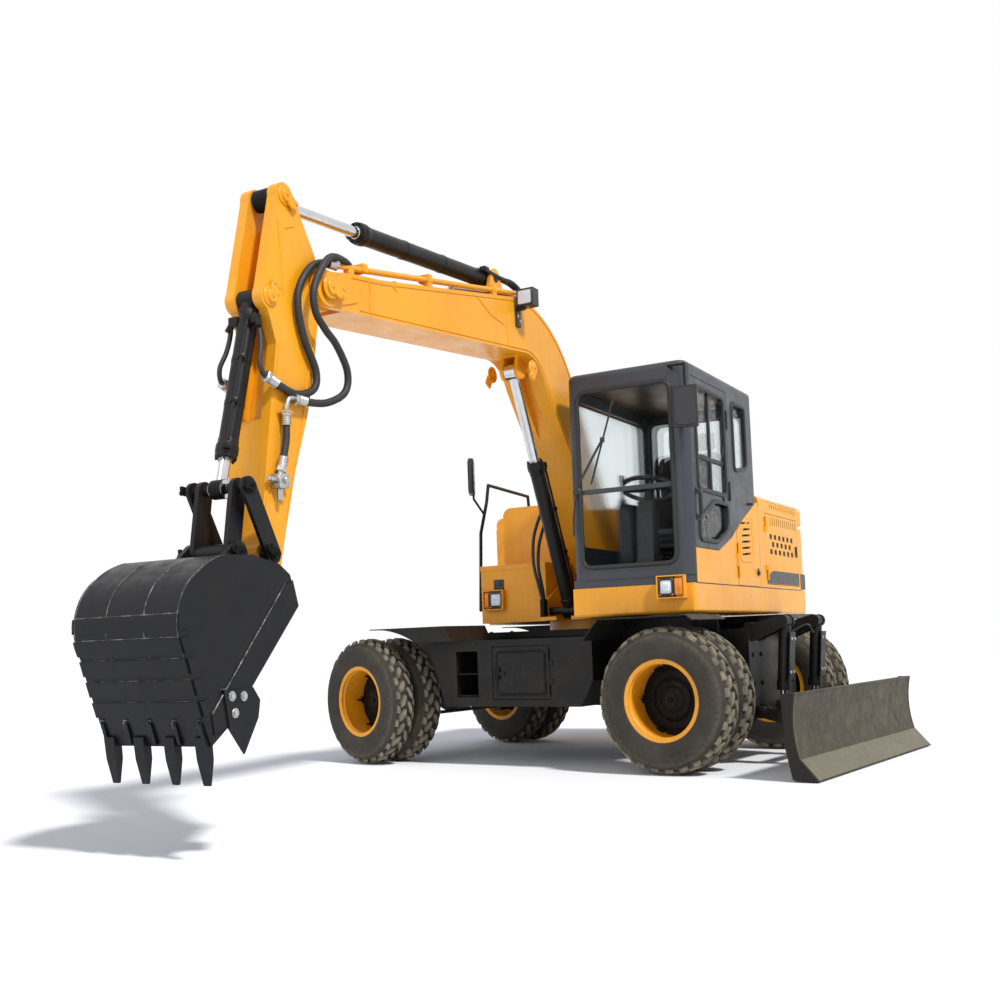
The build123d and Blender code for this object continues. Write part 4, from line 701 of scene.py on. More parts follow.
def wheel_places():
    """For each wheel: its words, the point where its axle meets the kingpin line, and its turn."""
    places = []
    for end, axle_x, steer in (("front", FRONT_AXLE_X, STEER_REST), ("rear", REAR_AXLE_X, 0.0)):
        for hand, side in HANDS:
            centre = turn_z(UNDER_TURN) @ np.array((axle_x, side * KINGPIN_Y, TYRE_R))
            places.append((f"{end}_{hand}", centre, UNDER_TURN + steer + (0.0 if side > 0 else math.pi)))
    return places


def at_wheel(shape, centre, turn):
    """From a wheel's own axes, its axle along +Y and outwards, to the world's."""
    return shape[0] @ turn_z(turn).T + centre, shape[1]


def hub_shapes():
    """Planet cover on the hub: turned steps, a ring of bolts, a plug, and a drain screw."""
    cover = lathe([(0.149, 0.150), (0.1535, 0.158), (0.1535, 0.170), (0.146, 0.173), (0.129, 0.1845),
                   (0.129, 0.194), (0.124, 0.197), (0.094, 0.202), (0.086, 0.2105), (0.050, 0.2225),
                   (0.048, 0.230), (0.022, 0.231), (0.018, 0.226), (0, 0.226)], 48, axis=ACROSS)
    ring = ring_of(12, 0.139)[:, (0, 2, 1)] + (0.0, 0.171, 0.0)
    inner = ring_of(6, 0.108, 0.3)[:, (0, 2, 1)] + (0.0, 0.198, 0.0)
    return joined(cover, bolts(ring, ACROSS, 0.0105, 0.011), bolts(inner, ACROSS, 0.008, 0.008),
                  bolts([(0.0, 0.228, 0.0)], ACROSS, 0.013, 0.012))


def clamp_shapes():
    """Six rim clamps with their studs and nuts, one at each spoke's end."""
    turn = np.arange(6) * np.pi / 3
    c, s = np.cos(turn), np.sin(turn)
    zero = np.zeros(6)
    turns = np.stack((np.stack((c, zero, -s), -1), np.stack((zero, zero + 1, zero), -1),
                      np.stack((s, zero, c), -1)), axis=1)
    clamp = plate(rounded_outline([(0.196, -0.024), (0.2445, -0.03), (0.2445, 0.03), (0.196, 0.024)], 0.01),
                  0.160, 0.176, 0.003)
    stud = bar((0.218, 0.170, 0.0), (0.218, 0.226, 0.0), 0.0085, 10)
    nut = bolts([(0.218, 0.1765, 0.0)], ACROSS, 0.015, 0.016)
    return repeated(joined(clamp, stud, nut), turns, np.zeros((6, 3)))


def rim_shapes():
    """The rim's rolled lip, its lock ring and gutter, each a small profile carried round the rim."""
    face = RIM_FACE_Y - KINGPIN_Y
    turn = np.linspace(0.0, 2 * np.pi, 14, endpoint=False)
    lip = np.stack((0.2862 + 0.0052 * np.cos(turn), face - 0.0045 + 0.0052 * np.sin(turn)), -1)
    lock = [(0.2470, face - 0.052), (0.2415, face - 0.049), (0.2400, face - 0.040), (0.2420, face - 0.031),
            (0.2470, face - 0.026), (0.2490, face - 0.040)]
    gutter = [(0.2620, face - 0.013), (0.2575, face - 0.0085), (0.2610, face - 0.003), (0.2700, face - 0.001),
              (0.2740, face - 0.006), (0.2700, face - 0.014)]
    made = []
    for profile in (lip, lock, gutter):
        points, _ = lathe(profile, 72, axis=ACROSS)
        made.append((points, grid_faces(len(profile), 72, True, True)))
    valve = tube(smooth_path([(0.244, 0.20, 0.0), (0.236, 0.225, 0.0), (0.234, 0.262, 0.0)], 4), 0.0045, 8)
    return joined(*made, valve)


# The tread attribute carries mud on the blocks' tops and painted shade down their sides and in the grooves.
tyre_shape, tyre_mud_and_shade_marks = one_tyre(7)
for words, centre, turn in wheel_places():
    pair = joined(*[(tyre_shape[0] + (0.0, y, 0.0), tyre_shape[1]) for y in TWIN_Y])
    tyres = make(f"{words}_muddy_tyres", at_wheel(pair, centre, turn), mud_rubber, f"{words}_wheel",
                 35.0, np.tile(tyre_mud_and_shade_marks, 2))
    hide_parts(f"{words}_tyres")
    make(f"{words}_planet_cover", at_wheel(hub_shapes(), centre, turn), iron_black, f"{words}_wheel")
    make(f"{words}_rim_clamps", at_wheel(clamp_shapes(), centre, turn), iron_black, f"{words}_wheel")
    make(f"{words}_rim_rings", at_wheel(rim_shapes(), centre, turn), rim_paint, f"{words}_wheel",
         40.0)
    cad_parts[f"{words}_wheel"].data.materials.clear()
    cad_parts[f"{words}_wheel"].data.materials.append(wheel_paint(words, centre, turn))


# Pins, hoses and pipes of the working equipment

BOOM_FOOT, BOOM_TIP = (0.0, 1.500), (3.620, 2.800)
ARM_TIP, ROCKER_PIN = (4.120, 1.090), (4.114, 1.374)
LINK_PIN, EAR_PIN = (4.280, 1.685), (4.328, 1.375)
ARM_CYL_FOOT, ARM_CYL_EYE = (1.650, 3.380), (3.900, 3.220)
BOOM_CYL_FOOT, BOOM_CYL_EYE = (0.510, 1.133), (1.300, 2.810)
BUCKET_CYL_FOOT = (4.030, 2.665)


def pin_cap(at, face, radius, keeper, washer):
    """A pin's end: a turned collar and dished cap on the plate's face, with its keeper bar and two bolts
    at an angle in degrees, and a grease nipple in the middle."""
    centre = np.array((at[0], face, at[1]))
    collar = lathe([(radius * washer, -0.001), (radius * washer, 0.006), (radius * washer - 0.004, 0.010),
                    (radius * 1.04, 0.011), (radius * 1.0, 0.020), (radius * 0.9, 0.024),
                    (radius * 0.34, 0.021), (0, 0.021)], 36, centre, ACROSS)
    nipple = lathe([(0.007, 0.020), (0.007, 0.026), (0.0035, 0.028), (0.0045, 0.033), (0, 0.034)], 8,
                   centre, ACROSS)
    turn = math.radians(keeper)
    ahead = np.array((math.cos(turn), 0.0, math.sin(turn)))
    beside = np.array((-math.sin(turn), 0.0, math.cos(turn)))
    reach = radius * washer
    outline = np.array([ahead * (reach * 0.45) + beside * s * 0.6 * reach for s in (-1, 1)]
                       + [ahead * (reach * 1.75) + beside * s * 0.6 * reach for s in (1, -1)])[:, (0, 2)]
    keeper_bar = plate(rounded_outline(outline + at, 0.012), face + 0.010, face + 0.022, 0.002)
    holes = [centre + ahead * reach * 1.42 + beside * s * 0.34 * reach + np.array(ACROSS) * 0.022
             for s in (-1, 1)]
    return joined(collar, nipple, keeper_bar, bolts(holes, ACROSS, 0.0095))


def weld(points, radius=0.005, y=None):
    """A weld bead: a small round carried along the joint, swelling with a short even ripple."""
    points = np.asarray(points, float)
    if y is not None:
        points = np.stack((points[:, 0], np.full(len(points), y), points[:, 1]), axis=-1)
    runs = np.linalg.norm(np.diff(points, axis=0), axis=1)
    away = np.concatenate(([0.0], np.cumsum(runs)))
    count = max(4, int(away[-1] / 0.011))
    at = np.linspace(0.0, away[-1], count)
    path = np.stack([np.interp(at, away, points[:, k]) for k in range(3)], axis=-1)
    return tube(path, radius, 6, scale=1.0 + 0.16 * np.cos(np.arange(count) * np.pi))


def swaged_end(end, before, radius, length=0.055):
    """A hose end: a crimped ferrule in five ribs, then a hexagon nut, turned about the hose's last run."""
    end, before = np.asarray(end, float), np.asarray(before, float)
    ahead = (end - before) / np.linalg.norm(end - before)
    step = np.linspace(0.0, 1.0, 16)
    wave = radius * (1.32 + 0.09 * np.cos(step * 10.0 * np.pi))
    profile = np.concatenate(([(0.0, 0.0)], np.stack((wave, step * length), -1), [(radius * 0.9, length)],
                              [(0.0, length)]))
    ferrule = lathe(profile, 16, end - ahead * length, ahead)
    nut = lathe([(0, -0.002), (radius * 1.5, -0.002), (radius * 1.62, 0.003), (radius * 1.62, 0.020),
                 (radius * 1.45, 0.024), (0, 0.024)], 6, end, ahead)
    return joined(ferrule, nut)


def hose(corners, radius=0.014, sleeve=True):
    """A hydraulic hose on a smooth line through its points, with a spiral guard: the tube's radius
    swells and shrinks with the distance along it."""
    path = smooth_path(corners, 14)
    away = np.concatenate(([0.0], np.cumsum(np.linalg.norm(np.diff(path, axis=0), axis=1))))
    at = np.linspace(0.0, away[-1], max(24, int(away[-1] / 0.0045)))
    fine = np.stack([np.interp(at, away, path[:, k]) for k in range(3)], axis=-1)
    ripple = 1.0 + (0.055 * np.cos(at / 0.0145 * 2.0 * np.pi) if sleeve else 0.0)
    return tube(fine, radius, 12, scale=ripple * np.ones(len(at)))


def mirrored(shape):
    """The same shape on the other side of the boom's plane: y becomes -y."""
    return shape[0] * (1.0, -1.0, 1.0), shape[1]


def both_sides(shape):
    """A shape and its mirror image in the boom's plane."""
    return joined(shape, mirrored(shape))


def arc_through(first, middle, last, count):
    """Points (x, z) of the circle through three points, at even angles from the first to the last."""
    (ax, az), (bx, bz), (cx, cz) = first, middle, last
    d = 2 * (ax * (bz - cz) + bx * (cz - az) + cx * (az - bz))
    a2, b2, c2 = ax * ax + az * az, bx * bx + bz * bz, cx * cx + cz * cz
    centre = np.array(((a2 * (bz - cz) + b2 * (cz - az) + c2 * (az - bz)) / d,
                       (a2 * (cx - bx) + b2 * (ax - cx) + c2 * (bx - ax)) / d))
    angles = np.unwrap([math.atan2(z - centre[1], x - centre[0]) for x, z in (first, middle, last)])
    turn = np.linspace(angles[0], angles[2], count)
    radius = math.hypot(ax - centre[0], az - centre[1])
    return centre + radius * np.stack((np.cos(turn), np.sin(turn)), axis=-1)


def beside_line(points, distance):
    """A line of points (x, z) moved to its left by a distance, along its normal."""
    points = np.asarray(points, float)
    ahead = np.gradient(points, axis=0)
    ahead /= np.linalg.norm(ahead, axis=1, keepdims=True)
    return points + distance * np.stack((-ahead[:, 1], ahead[:, 0]), axis=-1)


def at_y(points, y):
    """Points (x, z) of the boom's plane, moved out to y."""
    points = np.asarray(points, float)
    return np.stack((points[:, 0], np.full(len(points), float(y)), points[:, 1]), axis=-1)


def at_x(points, x):
    """Points (y, z) of a face that looks ahead, moved out to x."""
    points = np.asarray(points, float)
    return np.stack((np.full(len(points), float(x)), points[:, 0], points[:, 1]), axis=-1)


def oblong(low, high):
    """The four corners of an oblong from its lowest and highest corner."""
    return [(low[0], low[1]), (high[0], low[1]), (high[0], high[1]), (low[0], high[1])]


BOOM_BACK = np.concatenate(([(-0.088, 1.545), (0.236, 2.0815)],
                            arc_through((0.560, 2.618), (0.900, 3.090), (1.420, 3.282), 14),
                            [(2.267, 3.127), (3.114, 2.972), (3.400, 2.936)]))
BOOM_BELLY = np.concatenate(([(0.080, 1.445), (0.593, 2.088)],
                             arc_through((1.106, 2.731), (1.225, 2.865), (1.420, 2.900), 8),
                             [(2.281, 2.822), (3.142, 2.744), (3.330, 2.727)]))


def cylinder_trim(tube_r, base, reach, pipe_turn, bolt_count=8, clamps=2):
    """A cylinder's dress, along its own line: gland collar with cap screws, weld ring at the base, port
    blocks at both ends, and the oil pipe that runs straight beside the tube from one block to the other, with
    its straps. The pipe stands round the tube at pipe_turn."""
    wide = tube_r * 1.11
    collar = lathe([(tube_r * 0.98, reach - 0.098), (tube_r * 1.05, reach - 0.092),
                    (tube_r * 1.05, reach - 0.070), (wide, reach - 0.064), (wide * 1.045, reach - 0.058),
                    (wide * 1.045, reach - 0.022), (wide, reach - 0.016), (wide * 0.99, reach + 0.003),
                    (wide * 0.90, reach + 0.007), (tube_r * 0.74, reach + 0.007),
                    (tube_r * 0.70, reach + 0.002)], 40, axis=X_AXIS)
    foot = lathe([(tube_r * 0.99, base - 0.006), (tube_r * 1.09, base + 0.002), (tube_r * 1.09, base + 0.030),
                  (tube_r * 1.0, base + 0.038)], 40, axis=X_AXIS)
    turn = np.arange(bolt_count) * 2 * np.pi / bolt_count + 0.2
    places = np.stack((np.full(bolt_count, reach + 0.006), wide * 0.85 * np.cos(turn),
                       wide * 0.85 * np.sin(turn)), axis=-1)
    screws = bolts(places, X_AXIS, 0.0055, 0.009, 12)
    c, s = math.cos(pipe_turn), math.sin(pipe_turn)
    lean = np.array(((1.0, 0.0, 0.0), (0.0, c, -s), (0.0, s, c)))
    away = tube_r + 0.021
    first, last = base + 0.045, reach - 0.045
    blocks = [rounded_box((x - 0.020, -0.018, tube_r - 0.008), (x + 0.020, 0.018, away + 0.012), 0.004)
              for x in (first, last)]
    run = smooth_path([(x, 0, away) for x in (first, first + 0.03, first + 0.06, last - 0.06, last - 0.03,
                                              last)], 5)
    pipe = tube(run, 0.0085, 10, up=ACROSS)
    nuts = [lathe([(0, 0), (0.013, 0), (0.0135, 0.003), (0.0135, 0.014), (0.012, 0.016), (0, 0.016)], 6,
                  (x, 0.0, away), (way, 0.0, 0.0)) for x, way in ((first + 0.019, 1.0), (last - 0.019, -1.0))]
    straps = []
    for x in np.linspace(first, last, clamps + 2)[1:-1]:
        ring = lathe([(tube_r * 0.995, x - 0.013), (tube_r * 1.045, x - 0.012), (tube_r * 1.045, x + 0.012),
                      (tube_r * 0.995, x + 0.013)], 36, axis=X_AXIS)
        saddle = rounded_box((x - 0.013, -0.017, tube_r - 0.004), (x + 0.013, 0.017, away + 0.011), 0.004, 3)
        straps += [ring, (saddle[0] @ lean.T, saddle[1])]
    leant = joined(*blocks, pipe, *nuts)
    return joined(collar, foot, screws, (leant[0] @ lean.T, leant[1]), *straps)


def wiper_ring(rod_r, reach):
    """The pale scraper ring where the rod leaves the gland."""
    return lathe([(rod_r * 1.003, reach + 0.001), (rod_r * 1.003, reach + 0.014),
                  (rod_r * 1.16, reach + 0.011), (rod_r * 1.22, reach + 0.001)], 32, axis=X_AXIS)


def stood(shape, foot, eye):
    """From a cylinder's own axes to the world's: its line from the foot, the machine's +Y, and the normal
    to both are the turn's columns, and the foot is the origin."""
    ahead = np.array((eye[0] - foot[0], 0.0, eye[1] - foot[1]))
    ahead /= np.linalg.norm(ahead)
    turn = np.stack((ahead, ACROSS, np.cross(ahead, ACROSS)), axis=1)
    return shape[0] @ turn.T + (foot[0], 0.0, foot[1]), shape[1]


# Pins: the boom's own, the arm's, the bucket's and the linkage's
make("boom_pin_caps", both_sides(joined(
    pin_cap(BOOM_TIP, 0.1815, 0.040, 188.0, 1.55), pin_cap(BOOM_CYL_EYE, 0.160, 0.034, -60.0, 1.7),
    pin_cap(BOOM_FOOT, 0.2025, 0.042, 60.0, 1.5))), yellow, "boom")
make("arm_pin_caps", both_sides(joined(
    pin_cap(ARM_CYL_EYE, 0.118, 0.034, 215.0, 1.5),
    pin_cap(BUCKET_CYL_FOOT, 0.118, 0.034, 120.0, 1.5))), yellow, "arm")
make("rocker_pin_caps", both_sides(joined(
    pin_cap(ROCKER_PIN, 0.180, 0.026, 28.0, 1.4), pin_cap(LINK_PIN, 0.180, 0.026, 8.0, 1.4))),
     iron_black, "rocker_links")
make("bucket_pin_caps", both_sides(joined(
    pin_cap(ARM_TIP, 0.160, 0.032, 150.0, 1.35), pin_cap(EAR_PIN, 0.154, 0.026, 10.0, 1.35))),
     iron_black, "bucket")

# Welds of the boom and the arm, and the boom's seams
boom_welds = [weld(beside_line(line, inset), 0.0045, 0.1608)
              for line, inset in ((BOOM_BACK, -0.022), (BOOM_BELLY, 0.022))]
boom_welds += [weld([(3.245, 2.950), (3.228, 2.880), (3.243, 2.800), (3.226, 2.742)], 0.004, 0.1608),
               weld([(3.130, 2.955), (3.020, 2.968), (2.960, 2.945)], 0.004, 0.1608),
               weld([(2.060, 3.148), (1.860, 3.060), (1.690, 3.035)], 0.004, 0.1608),
               weld([(1.640, 3.230), (1.655, 3.040), (1.640, 2.910)], 0.004, 0.1608)]
make("boom_weld_beads", both_sides(joined(*boom_welds)), yellow, "boom", 60.0)
ARM_FRONT = [(4.085, 2.700), (3.990, 2.439), (4.056, 2.015), (4.111, 1.637), (4.150, 1.390)]
arm_welds = [weld(beside_line(ARM_FRONT[1:], -0.020), 0.0045, 0.1188),
             weld([(3.960, 3.080), (3.938, 2.900), (3.930, 2.700)], 0.0045, 0.1188),
             weld([(3.900, 3.050), (3.830, 3.080)], 0.004, 0.1188),
             weld([(3.655, 2.640), (3.720, 2.400), (3.815, 2.020), (3.940, 1.560)], 0.0045, 0.1188)]
make("arm_weld_beads", both_sides(joined(*arm_welds)), yellow, "arm", 60.0)

# Cylinders
for words, foot, eye, tube_r, base, reach, rod_r, pipe_turn, body in (
        ("bucket", BUCKET_CYL_FOOT, LINK_PIN, 0.048, 0.060, 0.850, 0.028, -0.7, "bucket_cylinder"),
        ("arm", ARM_CYL_FOOT, ARM_CYL_EYE, 0.056, 0.095, 1.480, 0.032, 1.5, "arm_cylinder"),
        ("boom", BOOM_CYL_FOOT, BOOM_CYL_EYE, 0.054, 0.070, 1.180, 0.036, -0.55, "boom_cylinder")):
    dress = cylinder_trim(tube_r, base, reach, pipe_turn)
    make(f"{words}_cylinder_dress", stood(dress, foot, eye), black, body)
    make(f"{words}_rod_wiper", stood(wiper_ring(rod_r, reach), foot, eye), zinc, body)

# Oil lines on the boom: grey pipes round the elbow's back, a second pipe to the tip, and their clamps
back_run = beside_line(BOOM_BACK[:17], 0.024)
lines = [tube(at_y(smooth_path(back_run[1:], 3), y), 0.011, 10, up=ACROSS) for y in (0.088, 0.122)]
make("elbow_oil_pipes", both_sides(joined(*lines)), zinc, "boom", 60.0)
tip_run = [(3.348, 2.983), (3.300, 2.991), (3.000, 3.043), (2.000, 3.217), (1.650, 3.278), (1.500, 3.302)]
clamp_at = np.array([(2.600, 3.113), (1.800, 3.252), (3.270, 2.997)])
clamps = [rounded_box((x - 0.022, 0.086, z - 0.020), (x + 0.022, 0.164, z + 0.028), 0.004)
          for x, z in clamp_at]
screws = bolts([(x, 0.120, z + 0.027) for x, z in clamp_at], Z_AXIS, 0.009)
make("boom_inner_pipes", both_sides(joined(tube(at_y(smooth_path(tip_run, 4), 0.104), 0.011, 10, up=ACROSS),
                                           *clamps, screws)), yellow, "boom")
straps = [bar((x, 0.070, z), (x, 0.140, z), 0.017, 12) for x, z in back_run[3:14:5]]
make("elbow_pipe_straps", both_sides(joined(*straps)), black, "boom")

# Hoses from the boom's tip to the arm, on no body of their own
near_tip = [(3.545, 0.149, 2.949), (3.619, 0.151, 2.940), (3.740, 0.152, 2.885), (3.836, 0.152, 2.760),
            (3.850, 0.148, 2.640), (3.801, 0.146, 2.490), (3.715, 0.146, 2.345), (3.735, 0.146, 2.245),
            (3.870, 0.146, 2.194), (4.010, 0.146, 2.215), (4.082, 0.140, 2.242)]
loop = [(3.336, 0.108, 2.985), (3.450, 0.152, 2.992), (3.640, 0.192, 2.950), (3.775, 0.200, 2.770),
        (3.770, 0.196, 2.640), (3.690, 0.194, 2.560), (3.590, 0.190, 2.495), (3.495, 0.184, 2.375),
        (3.510, 0.176, 2.262), (3.650, 0.168, 2.185), (3.800, 0.158, 2.163), (3.880, 0.152, 2.165)]
JOINT_HOSE_R = 0.0195
fitted = []
for words, route in (("bucket_feed", near_tip), ("service", loop)):
    line = hose(route, JOINT_HOSE_R)
    for hand, shape in (("left", line), ("right", mirrored(line))):
        piece = make(f"{hand}_{words}_hose", shape, rubber, None, 60.0)
        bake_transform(piece)
    for body, end, before in (("boom", route[0], route[1]), ("arm", route[-1], route[-2])):
        fitted.append((body, swaged_end(end, before, JOINT_HOSE_R)))
for body in ("boom", "arm"):
    make(f"{body}_hose_ends", both_sides(joined(*[shape for name, shape in fitted if name == body])), zinc,
         body)

# On the arm's side: elbow and tab, the short upright hose and the valve block under it
elbow = tube(smooth_path([(3.880, 0.152, 2.165), (3.915, 0.152, 2.168), (3.944, 0.152, 2.160),
                          (3.958, 0.150, 2.130), (3.962, 0.148, 2.085)], 6), 0.013, 12)
tab = plate(rounded_outline([(3.935, 0.115), (4.000, 0.115), (4.000, 0.182), (3.935, 0.182)], 0.012), 2.082,
            2.090, 0.002, "z")
valve = rounded_box((3.990, 0.119, 1.700), (4.058, 0.182, 1.772), 0.006)
ports = [bar((4.024, 0.150, 1.700), (4.026, 0.150, 1.640), 0.015, 6),
         bar((4.055, 0.150, 1.742), (4.100, 0.150, 1.742), 0.018, 6),
         bar((3.992, 0.150, 1.730), (3.958, 0.150, 1.728), 0.014, 6),
         bar((4.024, 0.178, 1.738), (4.024, 0.200, 1.738), 0.017, 12),
         bar((4.095, 0.150, 1.742), (4.112, 0.150, 1.742), 0.011, 10),
         bar((4.018, 0.150, 1.770), (4.012, 0.150, 1.800), 0.018, 6)]
make("service_valve", both_sides(joined(elbow, valve, *ports)), zinc, "arm")
make("service_tab", both_sides(tab), yellow, "arm")
drop = [(3.964, 0.148, 2.075), (3.966, 0.150, 2.000), (3.972, 0.151, 1.940), (3.992, 0.150, 1.860),
        (4.010, 0.150, 1.805)]
DROP_HOSE_R = 0.0180
drop_ends = joined(*[swaged_end(drop[end], drop[before], DROP_HOSE_R) for end, before in ((0, 1), (-1, -2))])
make("service_drop_hose", both_sides(hose(drop, DROP_HOSE_R)), rubber, "arm", 60.0)
make("service_drop_ends", both_sides(drop_ends), zinc, "arm")

# From the arm's elbow fitting up to the bucket cylinder's base, beside its foot pin
feed = [(4.082, 0.140, 2.242), (4.118, 0.136, 2.262), (4.128, 0.128, 2.320), (4.098, 0.112, 2.400),
        (4.085, 0.096, 2.480), (4.098, 0.075, 2.545)]
line = hose(feed, 0.0125, False)
for hand, shape in (("left", line), ("right", mirrored(line))):
    y = 0.1 if hand == "left" else -0.1
    piece = make(f"{hand}_bucket_cylinder_hose", shape, rubber, None, 60.0)
    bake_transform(piece)
make("bucket_cylinder_ports", both_sides(joined(
    rounded_box((4.062, 0.030, 2.520), (4.110, 0.088, 2.572), 0.006),
    bar((4.086, 0.080, 2.545), (4.100, 0.100, 2.500), 0.017, 6))), black, "bucket_cylinder")

# Hoses from the elbow's pipes over to the arm cylinder's base
over = [(1.130, 0.060, 3.236), (1.190, 0.062, 3.300), (1.290, 0.062, 3.368), (1.410, 0.058, 3.400),
        (1.530, 0.054, 3.402), (1.610, 0.050, 3.408), (1.680, 0.046, 3.412)]
second = [(1.190, 0.095, 3.262), (1.250, 0.098, 3.320), (1.340, 0.098, 3.372), (1.440, 0.094, 3.398),
          (1.560, 0.088, 3.392), (1.680, 0.082, 3.396), (1.760, 0.066, 3.412)]
for words, route in (("first", over), ("second", second)):
    line = hose(route, 0.015)
    for hand, shape in (("left", line), ("right", mirrored(line))):
        y = 0.07 if hand == "left" else -0.07
        piece = make(f"{hand}_{words}_arm_cylinder_hose", shape, rubber, None, 60.0)
        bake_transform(piece)
    make(f"{words}_elbow_hose_ends", both_sides(swaged_end(route[0], route[1], 0.015)), zinc, "boom")
make("arm_cylinder_ports", both_sides(joined(
    rounded_box((1.660, 0.012, 3.395), (1.740, 0.060, 3.428), 0.005),
    rounded_box((1.730, 0.040, 3.392), (1.790, 0.086, 3.430), 0.005))), black, "arm_cylinder")

# Work lamp: bezel, ribbed lens and bracket bolts
lamp_face = rounded_outline(oblong((0.192, 3.194), (0.302, 3.298)), 0.016)
make("work_lamp_bezel", carry([(-0.006, -0.003), (-0.006, 0.004), (-0.003, 0.007), (0.003, 0.007),
                               (0.006, 0.004), (0.006, -0.003)], at_x(lamp_face, 1.545), X_AXIS, True),
     plastic, "boom")
make("work_lamp_lens", plate(rounded_outline(oblong((0.196, 3.198), (0.298, 3.294)), 0.014), 1.544, 1.5495,
                             0.002, "x"), lens, "boom")
make("work_lamp_fixings", joined(bolts([(1.501, 0.2475, 3.186)], (0.0, 0.0, -1.0), 0.011),
                                 bolts([(1.485, 0.174, 3.10), (1.515, 0.174, 3.13)], ACROSS, 0.010)), zinc,
     "boom")

# Black sleeves over the eyes of the arm's and the bucket's rod, between the plates they turn in
for words, eye, radius, half in (("arm", ARM_CYL_EYE, 0.0575, 0.0552), ("bucket", LINK_PIN, 0.0475, 0.0402)):
    sleeve = lathe([(radius - 0.004, -half), (radius, -half + 0.003), (radius, half - 0.003),
                    (radius - 0.004, half)], 40, (eye[0], 0.0, eye[1]), ACROSS)
    make(f"{words}_rod_eye_sleeve", sleeve, iron_black, f"{words}_rod")


# Cab and house

CAB_FRONT, CAB_REAR, CAB_RIGHT, SIDE_Y = 1.029, -0.444, 0.275, 1.178
SEAL = [(-0.012, -0.003), (-0.013, 0.004), (-0.009, 0.009), (0.0, 0.0105), (0.009, 0.009), (0.013, 0.004),
        (0.012, -0.003)]


def seal_round(corners, radius, face, axis, out, profile=SEAL):
    """A rubber seal: its half-round profile carried round a window's rounded outline, on the outer face."""
    line = rounded_outline(corners, radius, 7)
    if axis == "x":
        return carry(profile, at_x(line, face), (float(out), 0.0, 0.0), True)
    return carry(profile, at_y(line, face), (0.0, float(out), 0.0), True)


SCREEN = oblong((0.360, 1.405), (1.060, 2.650))
DOOR_WINDOW = oblong((0.260, 1.910), (0.870, 2.630))
LOWER_WINDOW = [(0.880, 1.560), (0.880, 1.700), (0.560, 1.850), (0.260, 1.850), (0.260, 1.665),
                (0.510, 1.560)]
SIDE_WINDOW = [(0.060, 2.120), (0.060, 2.640), (-0.245, 2.640), (-0.245, 2.170)]
WIDE_SEAL = [(1.25 * across, 1.1 * rise) for across, rise in SEAL]
make("cab_window_seals", joined(
    seal_round(SCREEN, 0.075, CAB_FRONT, "x", 1, WIDE_SEAL),
    seal_round(oblong((0.370, 1.990), (1.085, 2.620)), 0.075, CAB_REAR, "x", -1),
    seal_round(oblong((-0.300, 1.560), (0.900, 2.620)), 0.075, CAB_RIGHT, "y", -1),
    seal_round(SIDE_WINDOW, 0.055, SIDE_Y, "y", 1, WIDE_SEAL)), seal_rubber, "upper", 60.0)
make("door_window_seals", joined(
    seal_round(DOOR_WINDOW, 0.055, SIDE_Y, "y", 1, WIDE_SEAL),
    seal_round(LOWER_WINDOW, 0.055, SIDE_Y, "y", 1, WIDE_SEAL)), seal_rubber, "cab_door",
     60.0)

# The door's sliding panes: an upright bar between them, a sill bar and the latch between the panes
make("door_slider_bars", joined(
    rounded_box((0.545, 1.150, 1.925), (0.575, 1.172, 2.620), 0.004),
    rounded_box((0.268, 1.150, 2.128), (0.862, 1.171, 2.160), 0.004),
    rounded_box((0.290, 1.160, 2.200), (0.312, 1.180, 2.270), 0.005)), seal_rubber, "cab_door")
make("door_latch", joined(
    lathe([(0.026, -0.001), (0.026, 0.006), (0.020, 0.010), (0.010, 0.011), (0, 0.011)], 24,
          (0.330, SIDE_Y, 1.890), ACROSS),
    rounded_box((0.870, 1.176, 1.690), (0.930, 1.186, 1.730), 0.003),
    rounded_box((0.870, 1.176, 1.872), (0.930, 1.186, 1.912), 0.003),
    bolts([(0.883, 1.186, 1.710), (0.919, 1.186, 1.710), (0.883, 1.186, 1.892), (0.919, 1.186, 1.892)],
          ACROSS, 0.005, 0.003, 12)), plastic, "cab_door")
make("door_grip_sleeve", tube([(0.902, 1.202, 1.728), (0.902, 1.2025, 1.760), (0.902, 1.2025, 1.840),
                               (0.902, 1.202, 1.872)], 0.0135, 16, up=ACROSS), seal_rubber, "cab_door")

# Wiper: a motor hood, an arm and the blade, across the upper windscreen
WIPER_X = CAB_FRONT + 0.016
arm_line = [(WIPER_X + 0.012, 0.345, 1.955), (WIPER_X + 0.016, 0.400, 2.050),
            (WIPER_X + 0.014, 0.558, 2.293)]
blade_line = [(WIPER_X + 0.002, 0.455, 1.990), (WIPER_X + 0.004, 0.558, 2.293),
              (WIPER_X + 0.002, 0.660, 2.600)]
make("wiper", joined(
    lathe([(0.0, 0.0), (0.030, 0.0), (0.030, 0.014), (0.022, 0.024), (0, 0.026)], 24,
          (CAB_FRONT - 0.001, 0.338, 1.950), X_AXIS),
    carry([(-0.008, -0.003), (-0.008, 0.003), (0.008, 0.003), (0.008, -0.003)], smooth_path(arm_line, 6),
          X_AXIS),
    carry([(-0.005, -0.004), (-0.003, 0.008), (0.003, 0.008), (0.005, -0.004)], smooth_path(blade_line, 6),
          X_AXIS),
    carry([(-0.002, -0.013), (-0.003, 0.0), (0.003, 0.0), (0.002, -0.013)], smooth_path(blade_line, 6),
          X_AXIS),
    rounded_box((WIPER_X + 0.001, 0.542, 2.275), (WIPER_X + 0.020, 0.574, 2.311), 0.004)), plastic, "upper")
